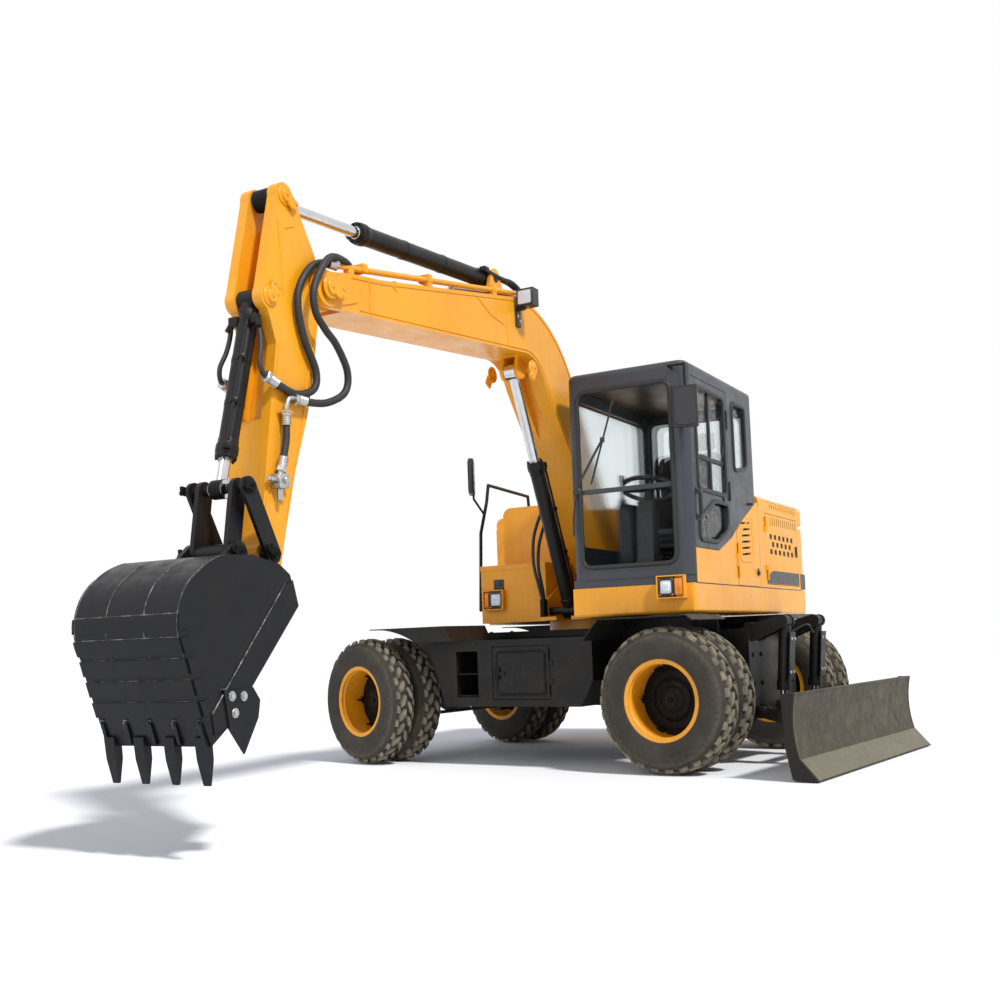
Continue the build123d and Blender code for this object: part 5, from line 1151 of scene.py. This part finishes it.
make("wiper_hoses", tube(smooth_path([(CAB_FRONT + 0.006, 0.338, 1.930), (CAB_FRONT + 0.014, 0.322, 1.860),
                                      (CAB_FRONT + 0.009, 0.305, 1.760),
                                      (CAB_FRONT + 0.004, 0.300, 1.640)], 8), 0.006, 8), rubber, "upper")

# Mirrors: a rolled rim, the silvered face inside it, and the back plate behind
MIRROR_HALF = np.array((0.172, 0.280)) / 2 - 0.006
for words, centre, turn in (("left", (1.120, 1.200, 2.437), 20.0), ("right", (0.460, -0.862, 2.235), -62.0)):
    face = rounded_outline(oblong(-MIRROR_HALF, MIRROR_HALF), 0.035, 8)
    rim = carry([(-0.006, -0.004), (-0.006, 0.001), (-0.003, 0.004), (0.003, 0.004), (0.006, 0.001),
                 (0.006, -0.004)], at_x(face, -0.020), (-1.0, 0.0, 0.0), True)
    glass = plate(face * 0.985, -0.0215, -0.0195, 0.0005, "x")
    back = plate(rounded_outline(oblong((-0.075, -0.130), (0.075, 0.130)), 0.04, 8), 0.0195, 0.0245, 0.004,
                 "x")
    spin = turn_z(math.radians(turn))
    for part, shape, finish, slot in (("rim", joined(rim, back), plastic, "black_plastic"),
                                      ("face", glass, chrome, "rod_chrome")):
        make(f"{words}_mirror_{part}", (shape[0] @ spin.T + centre, shape[1]), finish, "upper")

# Head lamps: bezels, ribbed lenses and the amber indicators beside them
LAMP_BOXES = ((1.0653, 0.932, 1.034, 1.0613, 1.046, 1.104), (0.5363, -0.688, -0.582, 0.5323, -0.734, -0.700))
bezels, lenses, ambers = [], [], []
for lamp_x, low_y, high_y, amber_x, low_a, high_a in LAMP_BOXES:
    line = rounded_outline(oblong((low_y + 0.004, 1.190), (high_y - 0.004, 1.292)), 0.024, 7)
    bezels.append(carry([(-0.007, -0.004), (-0.007, 0.003), (-0.002, 0.007), (0.005, 0.005), (0.007, -0.004)],
                        at_x(line, lamp_x), X_AXIS, True))
    bezels.append(rounded_box((lamp_x - 0.030, low_y - 0.010, 1.172), (lamp_x - 0.001, high_y + 0.010, 1.308),
                              0.006))
    middle = ((low_y + high_y) / 2, 1.241)
    grid = np.linspace(-1.0, 1.0, 15)
    across, rise = np.meshgrid(grid, grid, indexing="ij")
    dome = 0.007 * (1 - across ** 2) * (1 - rise ** 2) + 0.0012 * np.cos(across * 9 * np.pi) * (rise > -0.9)
    half = ((high_y - low_y) / 2 - 0.010, 0.044)
    points = np.stack((lamp_x + 0.001 + dome, middle[0] + half[0] * across, middle[1] + half[1] * rise), -1)
    lenses.append((points.reshape(-1, 3), grid_faces(15, 15)))
    ambers.append(rounded_box((amber_x - 0.004, low_a, 1.186), (amber_x + 0.010, high_a, 1.294), 0.005))
make("head_lamp_bezels", joined(*bezels), plastic, "upper")
make("head_lamp_lenses", joined(*lenses), lens, "upper")
make("indicator_lenses", joined(*ambers), amber, "upper")

# The dark bands along the side doors and the tail, black sheets behind the vents as painted shade, latches
# and locks
DOOR_BAND = [(-0.664, 1.336), (-0.720, 1.372), (-0.790, 1.398), (-0.860, 1.404), (-1.588, 1.404),
             (-1.588, 1.301), (-0.660, 1.301)]
TAIL_BAND = [(-1.636, 1.404), (-1.779, 1.404), (-1.779, 1.270), (-1.636, 1.270)]
for words, side in HANDS:
    low, high = sorted((side * SIDE_Y, side * (SIDE_Y + 0.0035)))
    make(f"{words}_door_band", plate(DOOR_BAND, low, high, 0.001), band_grey, f"{words}_rear_door")
    # Painted shade: a black sheet just behind the door's vent slots.
    low, high = sorted((side * (SIDE_Y - 0.006), side * (SIDE_Y - 0.003)))
    make(f"{words}_vent_shade_sheet", plate(oblong((-1.585, 1.520), (-0.720, 1.850)), low, high, 0.001), vent_shade_black,
         f"{words}_rear_door")
    low, high = sorted((side * (SIDE_Y - 0.002), side * (SIDE_Y + 0.013)))
    make(f"{words}_door_latches", joined(
        rounded_box((-1.546, low, 1.545), (-1.516, high, 1.635), 0.004),
        lathe([(0.016, 0.0), (0.016, 0.006), (0.012, 0.009), (0, 0.009)], 20, (-1.568, side * SIDE_Y, 1.600),
              (0.0, side, 0.0))), plastic, f"{words}_rear_door")
# Painted shade: black sheets just behind the hood's vent slots.
hood_vent_shade = [plate(oblong((-1.600, 1.853), (-0.700, 1.960)), low, high, 0.001)
             for low, high in ((SIDE_Y - 0.006, SIDE_Y - 0.003), (-SIDE_Y + 0.003, -SIDE_Y + 0.006))]
make("hood_vent_shade_sheet", joined(*hood_vent_shade), vent_shade_black, "engine_hood")
tail_bands = [plate(TAIL_BAND, low, high, 0.001)
              for low, high in ((SIDE_Y - 0.001, SIDE_Y + 0.003), (-SIDE_Y - 0.003, -SIDE_Y + 0.001))]
make("counterweight_band", joined(*tail_bands), band_grey, "upper")
make("left_front_door_latch", joined(
    rounded_box((-0.425, SIDE_Y - 0.002, 1.352), (-0.385, SIDE_Y + 0.014, 1.386), 0.004),
    bar((-0.400, SIDE_Y + 0.010, 1.384), (-0.372, SIDE_Y + 0.014, 1.404), 0.006, 8),
    lathe([(0.012, 0.0), (0.012, 0.004), (0, 0.005)], 16, (-0.405, SIDE_Y + 0.013, 1.368), ACROSS)), plastic,
     "left_front_door")
panel = [(0.008, 1.450), (0.008, 1.640), (-0.110, 1.725), (-0.300, 1.800), (-0.300, 1.450)]
rib = [(-0.006, -0.001), (-0.003, 0.004), (0.003, 0.004), (0.006, -0.001)]
make("left_front_door_panel_rib", seal_round(panel, 0.030, SIDE_Y, "y", 1, rib), yellow, "left_front_door")
make("cab_rear_stop", joined(
    rounded_box((-0.290, SIDE_Y - 0.002, 1.886), (-0.236, SIDE_Y + 0.012, 1.908), 0.004),
    bar((-0.263, SIDE_Y + 0.008, 1.897), (-0.263, SIDE_Y + 0.030, 1.897), 0.009, 12)), plastic, "upper")

# The cab's sill down to the skirt, wrapped round its front corner, and a black strip in the seam above the
# skirt, painted shade for its groove
def sill_line(inset):
    """The cab's front and left side seen from above, drawn in by an inset, round a quarter circle."""
    turn = np.arange(9) * math.pi / 16
    arc = np.stack((np.cos(turn), np.sin(turn)), axis=-1) * (0.086 - inset)
    return [(CAB_FRONT - inset, CAB_RIGHT + 0.006), *(arc + (CAB_FRONT - 0.086, SIDE_Y - 0.086)),
            (0.972, SIDE_Y - inset)]


def slice_of(front, back, low, high, axis="y"):
    """A closed slab between two curves of equally many points: the front curve at its low and high ends,
    the back curve at both, joined by strips, and its two ends closed."""
    front, back = np.asarray(front, float), np.asarray(back, float)
    rows = [np.column_stack((curve, np.full(len(curve), at)))
            for curve, at in ((front, low), (back, low), (back, high), (front, high))]
    order = {"y": (0, 2, 1), "x": (2, 0, 1), "z": (0, 1, 2)}[axis]
    points = np.concatenate(rows)[:, order]
    count = len(front)
    ends = np.array([[0, count, 2 * count, 3 * count],
                     [count - 1, 4 * count - 1, 3 * count - 1, 2 * count - 1]])
    return points, np.concatenate((grid_faces(4, count, True), ends))


make("cab_sill", slice_of(sill_line(0.006), sill_line(0.020), 1.2625, 1.3215, "z"), cab_grey, "upper")
# Painted shade: a thin black strip where the groove between the panel and the skirt runs.
make("skirt_seam_shade_strip", joined(
    rounded_box((-0.470, SIDE_Y - 0.004, 1.2585), (1.000, SIDE_Y + 0.0015, 1.2655), 0.001),
    rounded_box((-1.626, SIDE_Y - 0.004, 1.2585), (-0.480, SIDE_Y + 0.0015, 1.2655), 0.001)), seal_rubber,
     "upper")


# Tank, tool box, seat and controls

make("tank_cap", joined(
    lathe([(0.052, -0.004), (0.052, 0.001), (0.044, 0.003), (0.044, 0.018), (0.040, 0.022), (0, 0.022)], 24,
          (0.060, -0.400, 1.986), Z_AXIS),
    repeated(rounded_box((-0.003, 0.040, 0.004), (0.003, 0.047, 0.018), 0.001),
             np.stack([turn_z(a) for a in np.arange(12) * math.tau / 12]),
             np.tile((0.060, -0.400, 1.986), (12, 1)))), plastic, "upper")
make("tool_box_latch", joined(
    rounded_box((0.498, -0.662, 1.322), (0.512, -0.578, 1.398), 0.004),
    rounded_box((0.508, -0.640, 1.350), (0.518, -0.600, 1.392), 0.004),
    bolts([(0.5125, -0.652, 1.360), (0.5125, -0.588, 1.360)], X_AXIS, 0.005, 0.003, 12)), plastic,
     "upper")


def power(value, order):
    """A value's size raised to an order, with the value's own sign."""
    return np.sign(value) * np.abs(value) ** order


def pad(half, centre, tip=0.0, crown=0.30, channels=0, seam=0.010, rows=49, columns=64):
    """A padded cushion: a rounded box as a superellipsoid, |x/a|^p + |y/b|^p = 1 round its plan and thinner
    towards its edge, whose crown drops to sewn channels across it and to a seam round its middle."""
    up = np.linspace(-math.pi / 2, math.pi / 2, rows)[:, None]
    round_ = np.linspace(0.0, math.tau, columns, endpoint=False)[None, :]
    ring = power(np.cos(up), 0.28)
    x = half[0] * ring * power(np.cos(round_), crown)
    y = half[1] * ring * power(np.sin(round_), crown)
    z = half[2] * power(np.sin(up), 0.62) + 0 * round_
    z = z * (1.0 + 0.16 * (1 - (x / half[0]) ** 2) * (1 - (y / half[1]) ** 2))
    if channels:
        z = z - np.sign(z) * 0.009 * np.exp(-((np.sin(x / half[0] * channels * math.pi / 2)) / 0.16) ** 2)
    squeeze = 1.0 - seam * np.exp(-(up / 0.05) ** 2) / half[1]
    spin = np.array(((math.cos(tip), 0.0, math.sin(tip)), ACROSS, (-math.sin(tip), 0.0, math.cos(tip))))
    points = np.stack((x * squeeze, y * squeeze, z), axis=-1).reshape(-1, 3)
    return points @ spin.T + centre, grid_faces(rows, columns, close_columns=True)


seat_frame = make("seat_frame", joined(
    rounded_box((-0.150, 0.560, 1.351), (0.230, 0.880, 1.395), 0.010),
    *[rounded_box((-0.140 + 0.010 * k, 0.572 + 0.010 * k, 1.395 + 0.030 * k),
                  (0.220 - 0.010 * k, 0.868 - 0.010 * k, 1.420 + 0.030 * k), 0.008) for k in range(5)],
    rounded_box((-0.170, 0.520, 1.560), (0.300, 0.920, 1.600), 0.012),
    bar((-0.165, 0.650, 2.250), (-0.178, 0.650, 2.380), 0.007, 12),
    bar((-0.165, 0.790, 2.250), (-0.178, 0.790, 2.380), 0.007, 12)), plastic, "upper")
cushion = make("seat_cushion", pad((0.250, 0.218, 0.060), (0.075, 0.720, 1.655), 0.05, channels=3),
               seat_cloth, "upper", 80.0)
back = make("seat_back", pad((0.300, 0.208, 0.058), (-0.150, 0.720, 2.010), -1.43, channels=4), seat_cloth,
            "upper", 80.0)
headrest = make("seat_headrest", pad((0.068, 0.100, 0.040), (-0.178, 0.720, 2.405), -1.47), seat_cloth,
                "upper", 80.0)
for piece in (seat_frame, cushion, back, headrest):
    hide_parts("seat")

knob = [(0.0095, 0.0), (0.0115, 0.020), (0.018, 0.040), (0.021, 0.062), (0.018, 0.080), (0.009, 0.089),
        (0, 0.091)]
LEVERS = ((0.430, 0.425), (0.330, 1.015))
wheel_axis = np.array((-0.35, 0.0, 0.94)) / math.hypot(0.35, 0.94)
make("control_grips", joined(
    *[lathe(knob, 20, (x, y, 2.035)) for x, y in LEVERS],
    *[lathe([(0.040 - 0.004 * k, 0.0), (0.042 - 0.004 * k, 0.006), (0.036 - 0.004 * k, 0.012)], 20,
            (x, y, 1.890 + 0.011 * k)) for k in range(5) for x, y in LEVERS],
    lathe([(0.050, -0.010), (0.050, 0.004), (0.042, 0.014), (0.018, 0.018), (0, 0.018)], 24,
          (0.640, 0.720, 1.960), wheel_axis)), plastic, "upper")

# Boom foot: hoses looping from the swing frame's brackets to the boom's side
FOOT_RUNS = (((0.588, -0.182, 1.215), (0.600, -0.192, 1.320), (0.622, -0.205, 1.470), (0.600, -0.205, 1.630),
              (0.540, -0.192, 1.770), (0.480, -0.180, 1.860)),
             ((0.618, -0.182, 1.215), (0.640, -0.200, 1.330), (0.668, -0.222, 1.500), (0.648, -0.222, 1.690),
              (0.585, -0.198, 1.850), (0.520, -0.180, 1.930)))
for words, run in zip(("first", "second"), FOOT_RUNS):
    foot_hose = make(f"{words}_boom_foot_hose", tube(smooth_path(run, 9), 0.0125, 14), rubber, None)
    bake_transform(foot_hose)
make("foot_hose_fitting", rounded_box((0.572, -0.199, 1.086), (0.634, -0.165, 1.222), 0.004), iron_black,
     "upper")
make("foot_hose_clamps", joined(
    *[rounded_box((run[-1][0] - 0.030, -0.197, run[-1][2] - 0.014), (run[-1][0] + 0.016, -0.158,
                                                                    run[-1][2] + 0.026), 0.004)
      for run in FOOT_RUNS]), yellow, "boom")

# Bucket: weld lines, the highest band, gussets and bolts

LIP, KNEE, BROW = (4.706, 0.512), (4.805, 0.771), (4.853, 0.906)
SHOULDER = arc_through(BROW, (4.885, 1.070), (4.761, 1.259), 16)
CROWN = arc_through((4.761, 1.259), (4.680, 1.309), (4.584, 1.340), 8)
WRAPPER = np.concatenate(([LIP, KNEE], SHOULDER, CROWN[1:], [(4.420, 1.345)]))


def wrapper_x(z, proud=0.0):
    """The x of the bucket's front between its lip and its brow, at a height, some way proud of it."""
    knots = np.array((LIP, KNEE, BROW))
    return np.interp(z, knots[:, 1], knots[:, 0]) + proud


def on_wrapper(first, last, proud, count=12):
    """Points of the bucket's curved shell from one height to another, some way proud of it."""
    run = np.concatenate(([0.0], np.cumsum(np.linalg.norm(np.diff(WRAPPER[:-1], axis=0), axis=1))))
    at = np.linspace(*np.interp((first, last), WRAPPER[:-1, 1], run), count)
    line = np.stack([np.interp(at, run, WRAPPER[:-1, k]) for k in (0, 1)], axis=-1)
    ahead = np.gradient(line, axis=0)
    ahead /= np.linalg.norm(ahead, axis=1, keepdims=True)
    return line + proud * np.stack((ahead[:, 1], -ahead[:, 0]), axis=-1)


BANDS = ((0.640, 0.706), (0.732, 0.798), (0.824, 0.890), (0.912, 0.978), (1.012, 1.078))
beads = [weld([(4.203, 1.219), (4.523, 0.853), (4.700, 0.650)], 0.0042, side * 0.3150) for side in (1, -1)]
beads += [weld([(4.650, 0.751), (4.449, 0.757), (4.402, 0.696), (4.416, 0.614), (4.510, 0.462)], 0.0035,
               side * 0.3150) for side in (1, -1)]
beads += [weld(at_y(on_wrapper(0.990, 1.338, -0.0008, 40), y), 0.0032) for y in (-0.304, 0.304)]
beads += [weld(at_y(on_wrapper(1.080, 1.310, 0.000, 24), y), 0.0034) for y in (-0.112, 0.112)]
beads += [weld(at_y(on_wrapper(low, high, 0.000, 6), y), 0.0034)
          for low, high in ((0.980, 1.010), (0.892, 0.910)) for y in (-0.304, -0.112, 0.112, 0.304)]
beads += [weld(at_y([on_wrapper(high + 0.003, high + 0.006, -0.0006, 2)[0]] * 2, -0.306)
               + ((0.0, 0.0, 0.0), (0.0, 0.612, 0.0)), 0.0032) for low, high in BANDS]
RIB_Y = -0.290 + 0.145 * np.arange(5)
beads += [weld([(wrapper_x(z, 0.003), y - 0.0125, z) for z in (0.522, 0.622)], 0.0052) for y in RIB_Y]
RIB_TOP = (wrapper_x(0.628, 0.003), 0.628)
beads += [weld([(RIB_TOP[0], y - 0.010, RIB_TOP[1]), (RIB_TOP[0], y + 0.010, RIB_TOP[1])], 0.0045)
          for y in RIB_Y]
make("bucket_top_band", slice_of(on_wrapper(1.012, 1.078, 0.0014), on_wrapper(1.012, 1.078, -0.004), -0.313,
                                 0.313), bucket_iron, "bucket")
make("bucket_weld_beads", joined(*beads), weld_steel, "bucket", 60.0)
gussets, cutter_bolts = [], []
for side in (1.0, -1.0):
    for low_z, high_z in BANDS:
        low, high = sorted((side * 0.300, side * 0.3245))
        tip = on_wrapper(low_z, high_z, 0.0, 3)
        root = on_wrapper(low_z, high_z, -0.052, 3)
        root[:, 1] += (0.010, 0.0, -0.010)
        gussets.append(slice_of(tip, root, low, high))
    for x, z in ((4.590, 0.720), (4.515, 0.716), (4.572, 0.646)):
        cutter_bolts.append(lathe([(0.022, -0.001), (0.022, 0.003), (0.0, 0.003)], 20, (x, side * 0.327, z),
                                  (0.0, side, 0.0)))
        cutter_bolts.append(bolts([(x, side * 0.330, z)], (0.0, side, 0.0), 0.015, 0.010))
make("bucket_gussets", joined(*gussets), bucket_iron, "bucket")
make("side_cutter_bolts", joined(*cutter_bolts), zinc, "bucket")

# Undercarriage, drawn along its own axes and then turned to the world's


def on_chassis(name, shape, material, body, smooth=30.0):
    """A piece drawn along the undercarriage's own axes."""
    return make(name, to_world(shape), material, body, smooth)


def along_run(corners, count):
    """Evenly spaced points along a run of straight pieces."""
    corners = np.asarray(corners, float)
    run = np.concatenate(([0.0], np.cumsum(np.linalg.norm(np.diff(corners, axis=0), axis=1))))
    at = np.linspace(0.0, run[-1], count)
    return np.stack([np.interp(at, run, corners[:, k]) for k in (0, 1)], axis=-1)


# Dozer blade: the curved shell, its cutting edge, end plates, arms, ears and pins
FACE = np.concatenate((arc_through((2.046, 0.535), (2.026, 0.330), (2.058, 0.135), 20),
                       along_run([(2.058, 0.135), (2.173, 0.008)], 9)[1:]))
REAR_FACE = along_run([(2.013, 0.535), (1.973, 0.330), (1.983, 0.120), (2.028, 0.008), (2.160, 0.008)], 28)
END_BACK = along_run([(1.958, 0.535), (1.973, 0.200), (2.013, 0.008), (2.155, 0.008)], 28)
edge = along_run([(2.061, 0.132), (2.1675, 0.0125)], 10)
edge_out = np.array((0.127, 0.115)) / math.hypot(0.127, 0.115)
on_chassis("blade_shell", joined(slice_of(FACE, REAR_FACE, -1.190, 1.190),
                                 rounded_box((2.014, -1.190, 0.522), (2.048, 1.190, 0.537), 0.004)),
           blade_iron, "blade", 20.0)
on_chassis("blade_edge", slice_of(edge + 0.0055 * edge_out, edge - 0.004 * edge_out, -1.189, 1.189),
           blade_bright, "blade")
frame_parts = [slice_of(FACE, END_BACK, *span) for span in ((1.189, 1.207), (-1.207, -1.189))]
for side in (1.0, -1.0):
    y = side * 0.300
    frame_parts.append(slice_of([(1.470, 0.400), (1.610, 0.365), (1.800, 0.345), (1.985, 0.335)],
                                [(1.470, 0.320), (1.610, 0.285), (1.800, 0.230), (1.985, 0.172)], y - 0.038,
                                y + 0.038))
    frame_parts.append(lathe([(0.040, -0.038), (0.040, 0.038), (0.022, 0.038), (0.022, -0.038)], 32,
                             (1.470, y, 0.360), ACROSS))
    frame_parts.append(bar((1.470, y - 0.067, 0.360), (1.470, y + 0.067, 0.360), 0.022, 24))
    for offset in (-0.046, 0.046):
        frame_parts.append(plate(rounded_outline([(1.574, 0.450), (1.648, 0.450), (1.661, 0.290),
                                                  (1.589, 0.290)], 0.034, 8), y + offset - 0.010,
                                 y + offset + 0.010, 0.002))
    frame_parts.append(plate(rounded_outline([(1.860, 0.180), (1.975, 0.160), (1.975, 0.480)], 0.008),
                             y - 0.012, y + 0.012, 0.002))
frame_parts.append(rounded_box((1.640, -0.300, 0.250), (1.700, 0.300, 0.330), 0.006))
rear_frame = on_chassis("blade_frame", joined(*frame_parts), blade_dark, "blade")
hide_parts("blade")
blade_beads = [weld(at_y(FACE[:20] + (0.002, 0.0), side * 1.1885), 0.0035) for side in (1, -1)]
blade_beads.append(weld([(2.0615, -1.188, 0.1345), (2.0615, 1.188, 0.1345)], 0.0040))
on_chassis("blade_weld_beads", joined(*blade_beads), blade_bright, "blade", 60.0)

BLADE_PIVOT, BLADE_HEAD, BLADE_ROD = (1.470, 0.360), (1.655, 0.985), (1.610, 0.412)

# Blade cylinders: bolts through the guard plates, hoses over the barrels, caps on the pins
head, foot = np.array(BLADE_HEAD), np.array(BLADE_ROD)
run = (foot - head) / np.hypot(*(foot - head))
out = np.array((-run[1], run[0])) * (1.0 if -run[1] > 0 else -1.0)
clamp_ring = [(0.0435, -0.006), (0.0465, -0.004), (0.0465, 0.004), (0.0435, 0.006)]
for hand, side in HANDS:
    y = side * 0.300
    rings = [head + run * at for at in (0.440, 0.470)]
    dress = [lathe(clamp_ring, 32, (p[0], y, p[1]), (run[0], 0.0, run[1])) for p in rings]
    for step in (0.120, 0.350):
        p = head + run * step + out * 0.060
        dress.append(bolts([(p[0], y - 0.026, p[1]), (p[0], y + 0.026, p[1])], (out[0], 0.0, out[1]), 0.011,
                           0.008))
    on_chassis(f"{hand}_guard_bolts", joined(*dress), zinc, f"{hand}_blade_cylinder")
    port = head + run * 0.090
    hose_y = y - side * 0.052
    line = [(port[0], hose_y, port[1]), (port[0] - 0.030, hose_y - side * 0.020, port[1] + 0.060),
            (port[0] - 0.110, hose_y - side * 0.040, port[1] + 0.030), (1.500, hose_y - side * 0.050, 0.900),
            (1.435, hose_y - side * 0.050, 0.860)]
    hose_piece = on_chassis(f"{hand}_blade_hose", tube(smooth_path(line, 9), 0.011, 12), rubber, None)
    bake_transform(hose_piece)
    caps = [lathe([(0.036, -0.001), (0.036, 0.008), (0.028, 0.013), (0.010, 0.014), (0, 0.014)], 28,
                  (BLADE_PIVOT[0], y + s * 0.0735, BLADE_PIVOT[1]), (0.0, s, 0.0)) for s in (1.0, -1.0)]
    caps.append(bar((BLADE_ROD[0], y - 0.066, BLADE_ROD[1]), (BLADE_ROD[0], y + 0.066, BLADE_ROD[1]), 0.0205,
                    20))
    on_chassis(f"{hand}_blade_pin_caps", joined(*caps), iron_black, "blade")

on_chassis("rear_plate_bolts", joined(
    bolts([(1.430, y, z) for y in (-0.350, -0.210, 0.210, 0.350) for z in (0.560, 0.760, 0.880)], X_AXIS,
          0.015),
    bolts([(x, y, 0.990) for y in (-0.360, 0.360) for x in np.linspace(-0.800, 0.800, 9)
           if abs(x) > 0.41], Z_AXIS, 0.013)), iron_black, "undercarriage")
caps = []
angles = np.arange(12) * math.tau / 12
for axle_x, away in ((REAR_AXLE_X, 1.0), (FRONT_AXLE_X, -1.0)):
    caps.append(lathe([(0.104, -0.002), (0.104, 0.008), (0.090, 0.014), (0.030, 0.024), (0, 0.025)], 32,
                      (axle_x + away * 0.138, 0.0, TYRE_R), (away, 0.0, 0.0)))
    caps.append(bolts([(axle_x + away * 0.144, 0.093 * math.cos(a), TYRE_R + 0.093 * math.sin(a))
                       for a in angles], (away, 0.0, 0.0), 0.008, 0.006))
for side in (1.0, -1.0):
    caps.append(lathe([(0.044, -0.001), (0.044, 0.010), (0.030, 0.016), (0.010, 0.017), (0, 0.018)], 28,
                      (FRONT_AXLE_X, side * KINGPIN_Y, TYRE_R + 0.185), Z_AXIS))
on_chassis("axle_caps", joined(*caps), iron_black, "undercarriage")

# Side boxes: door handles, stiffening ribs and the step's tread bars
for hand, side in HANDS:
    low, high = sorted((side * 1.000, side * 1.016))
    on_chassis(f"{hand}_box_handle", joined(
        rounded_box((-0.315, low, 0.640), (-0.275, high, 0.730), 0.005),
        bar((-0.295, side * 1.010, 0.650), (-0.295, side * 1.018, 0.650), 0.009, 12),
        seal_round(oblong((-0.300, 0.530), (0.120, 0.840)), 0.030, side * 1.000, "y", side,
                   [(-0.010, -0.001), (-0.005, 0.004), (0.005, 0.004), (0.010, -0.001)])), iron_black,
               f"{hand}_box_door")
    low, high = sorted((side * 0.930, side * 0.998))
    on_chassis(f"{hand}_step_bars", joined(*[rounded_box((-0.668, low, z), (-0.482, high, z + 0.012), 0.004)
                                             for z in (0.514, 0.676)]), iron_black, "undercarriage")

# A dark disc closes the barrel of each wheel behind its hub, as the brake drum does
drum = lathe([(0.060, 0.150), (0.236, 0.150), (0.240, 0.156), (0.236, 0.162), (0.200, 0.166), (0.196, 0.176),
              (0.150, 0.180), (0.146, 0.172), (0.060, 0.172)], 48, axis=ACROSS)
for words, centre, turn in wheel_places():
    make(f"{words}_brake_drum", at_wheel(drum, centre, turn), iron_black, f"{words}_wheel")


# Floor

floor = put_mesh("floor", np.array([(-30, -30, 0), (30, -30, 0), (30, 30, 0), (-30, 30, 0)]),
                 np.array([(0, 1, 2, 3)]), smooth=False)
floor_paint = Paint("floor_white")
floor_paint.set(Base_Color=(0.93, 0.93, 0.93), Roughness=0.9)
floor.data.materials.append(floor_paint.material)
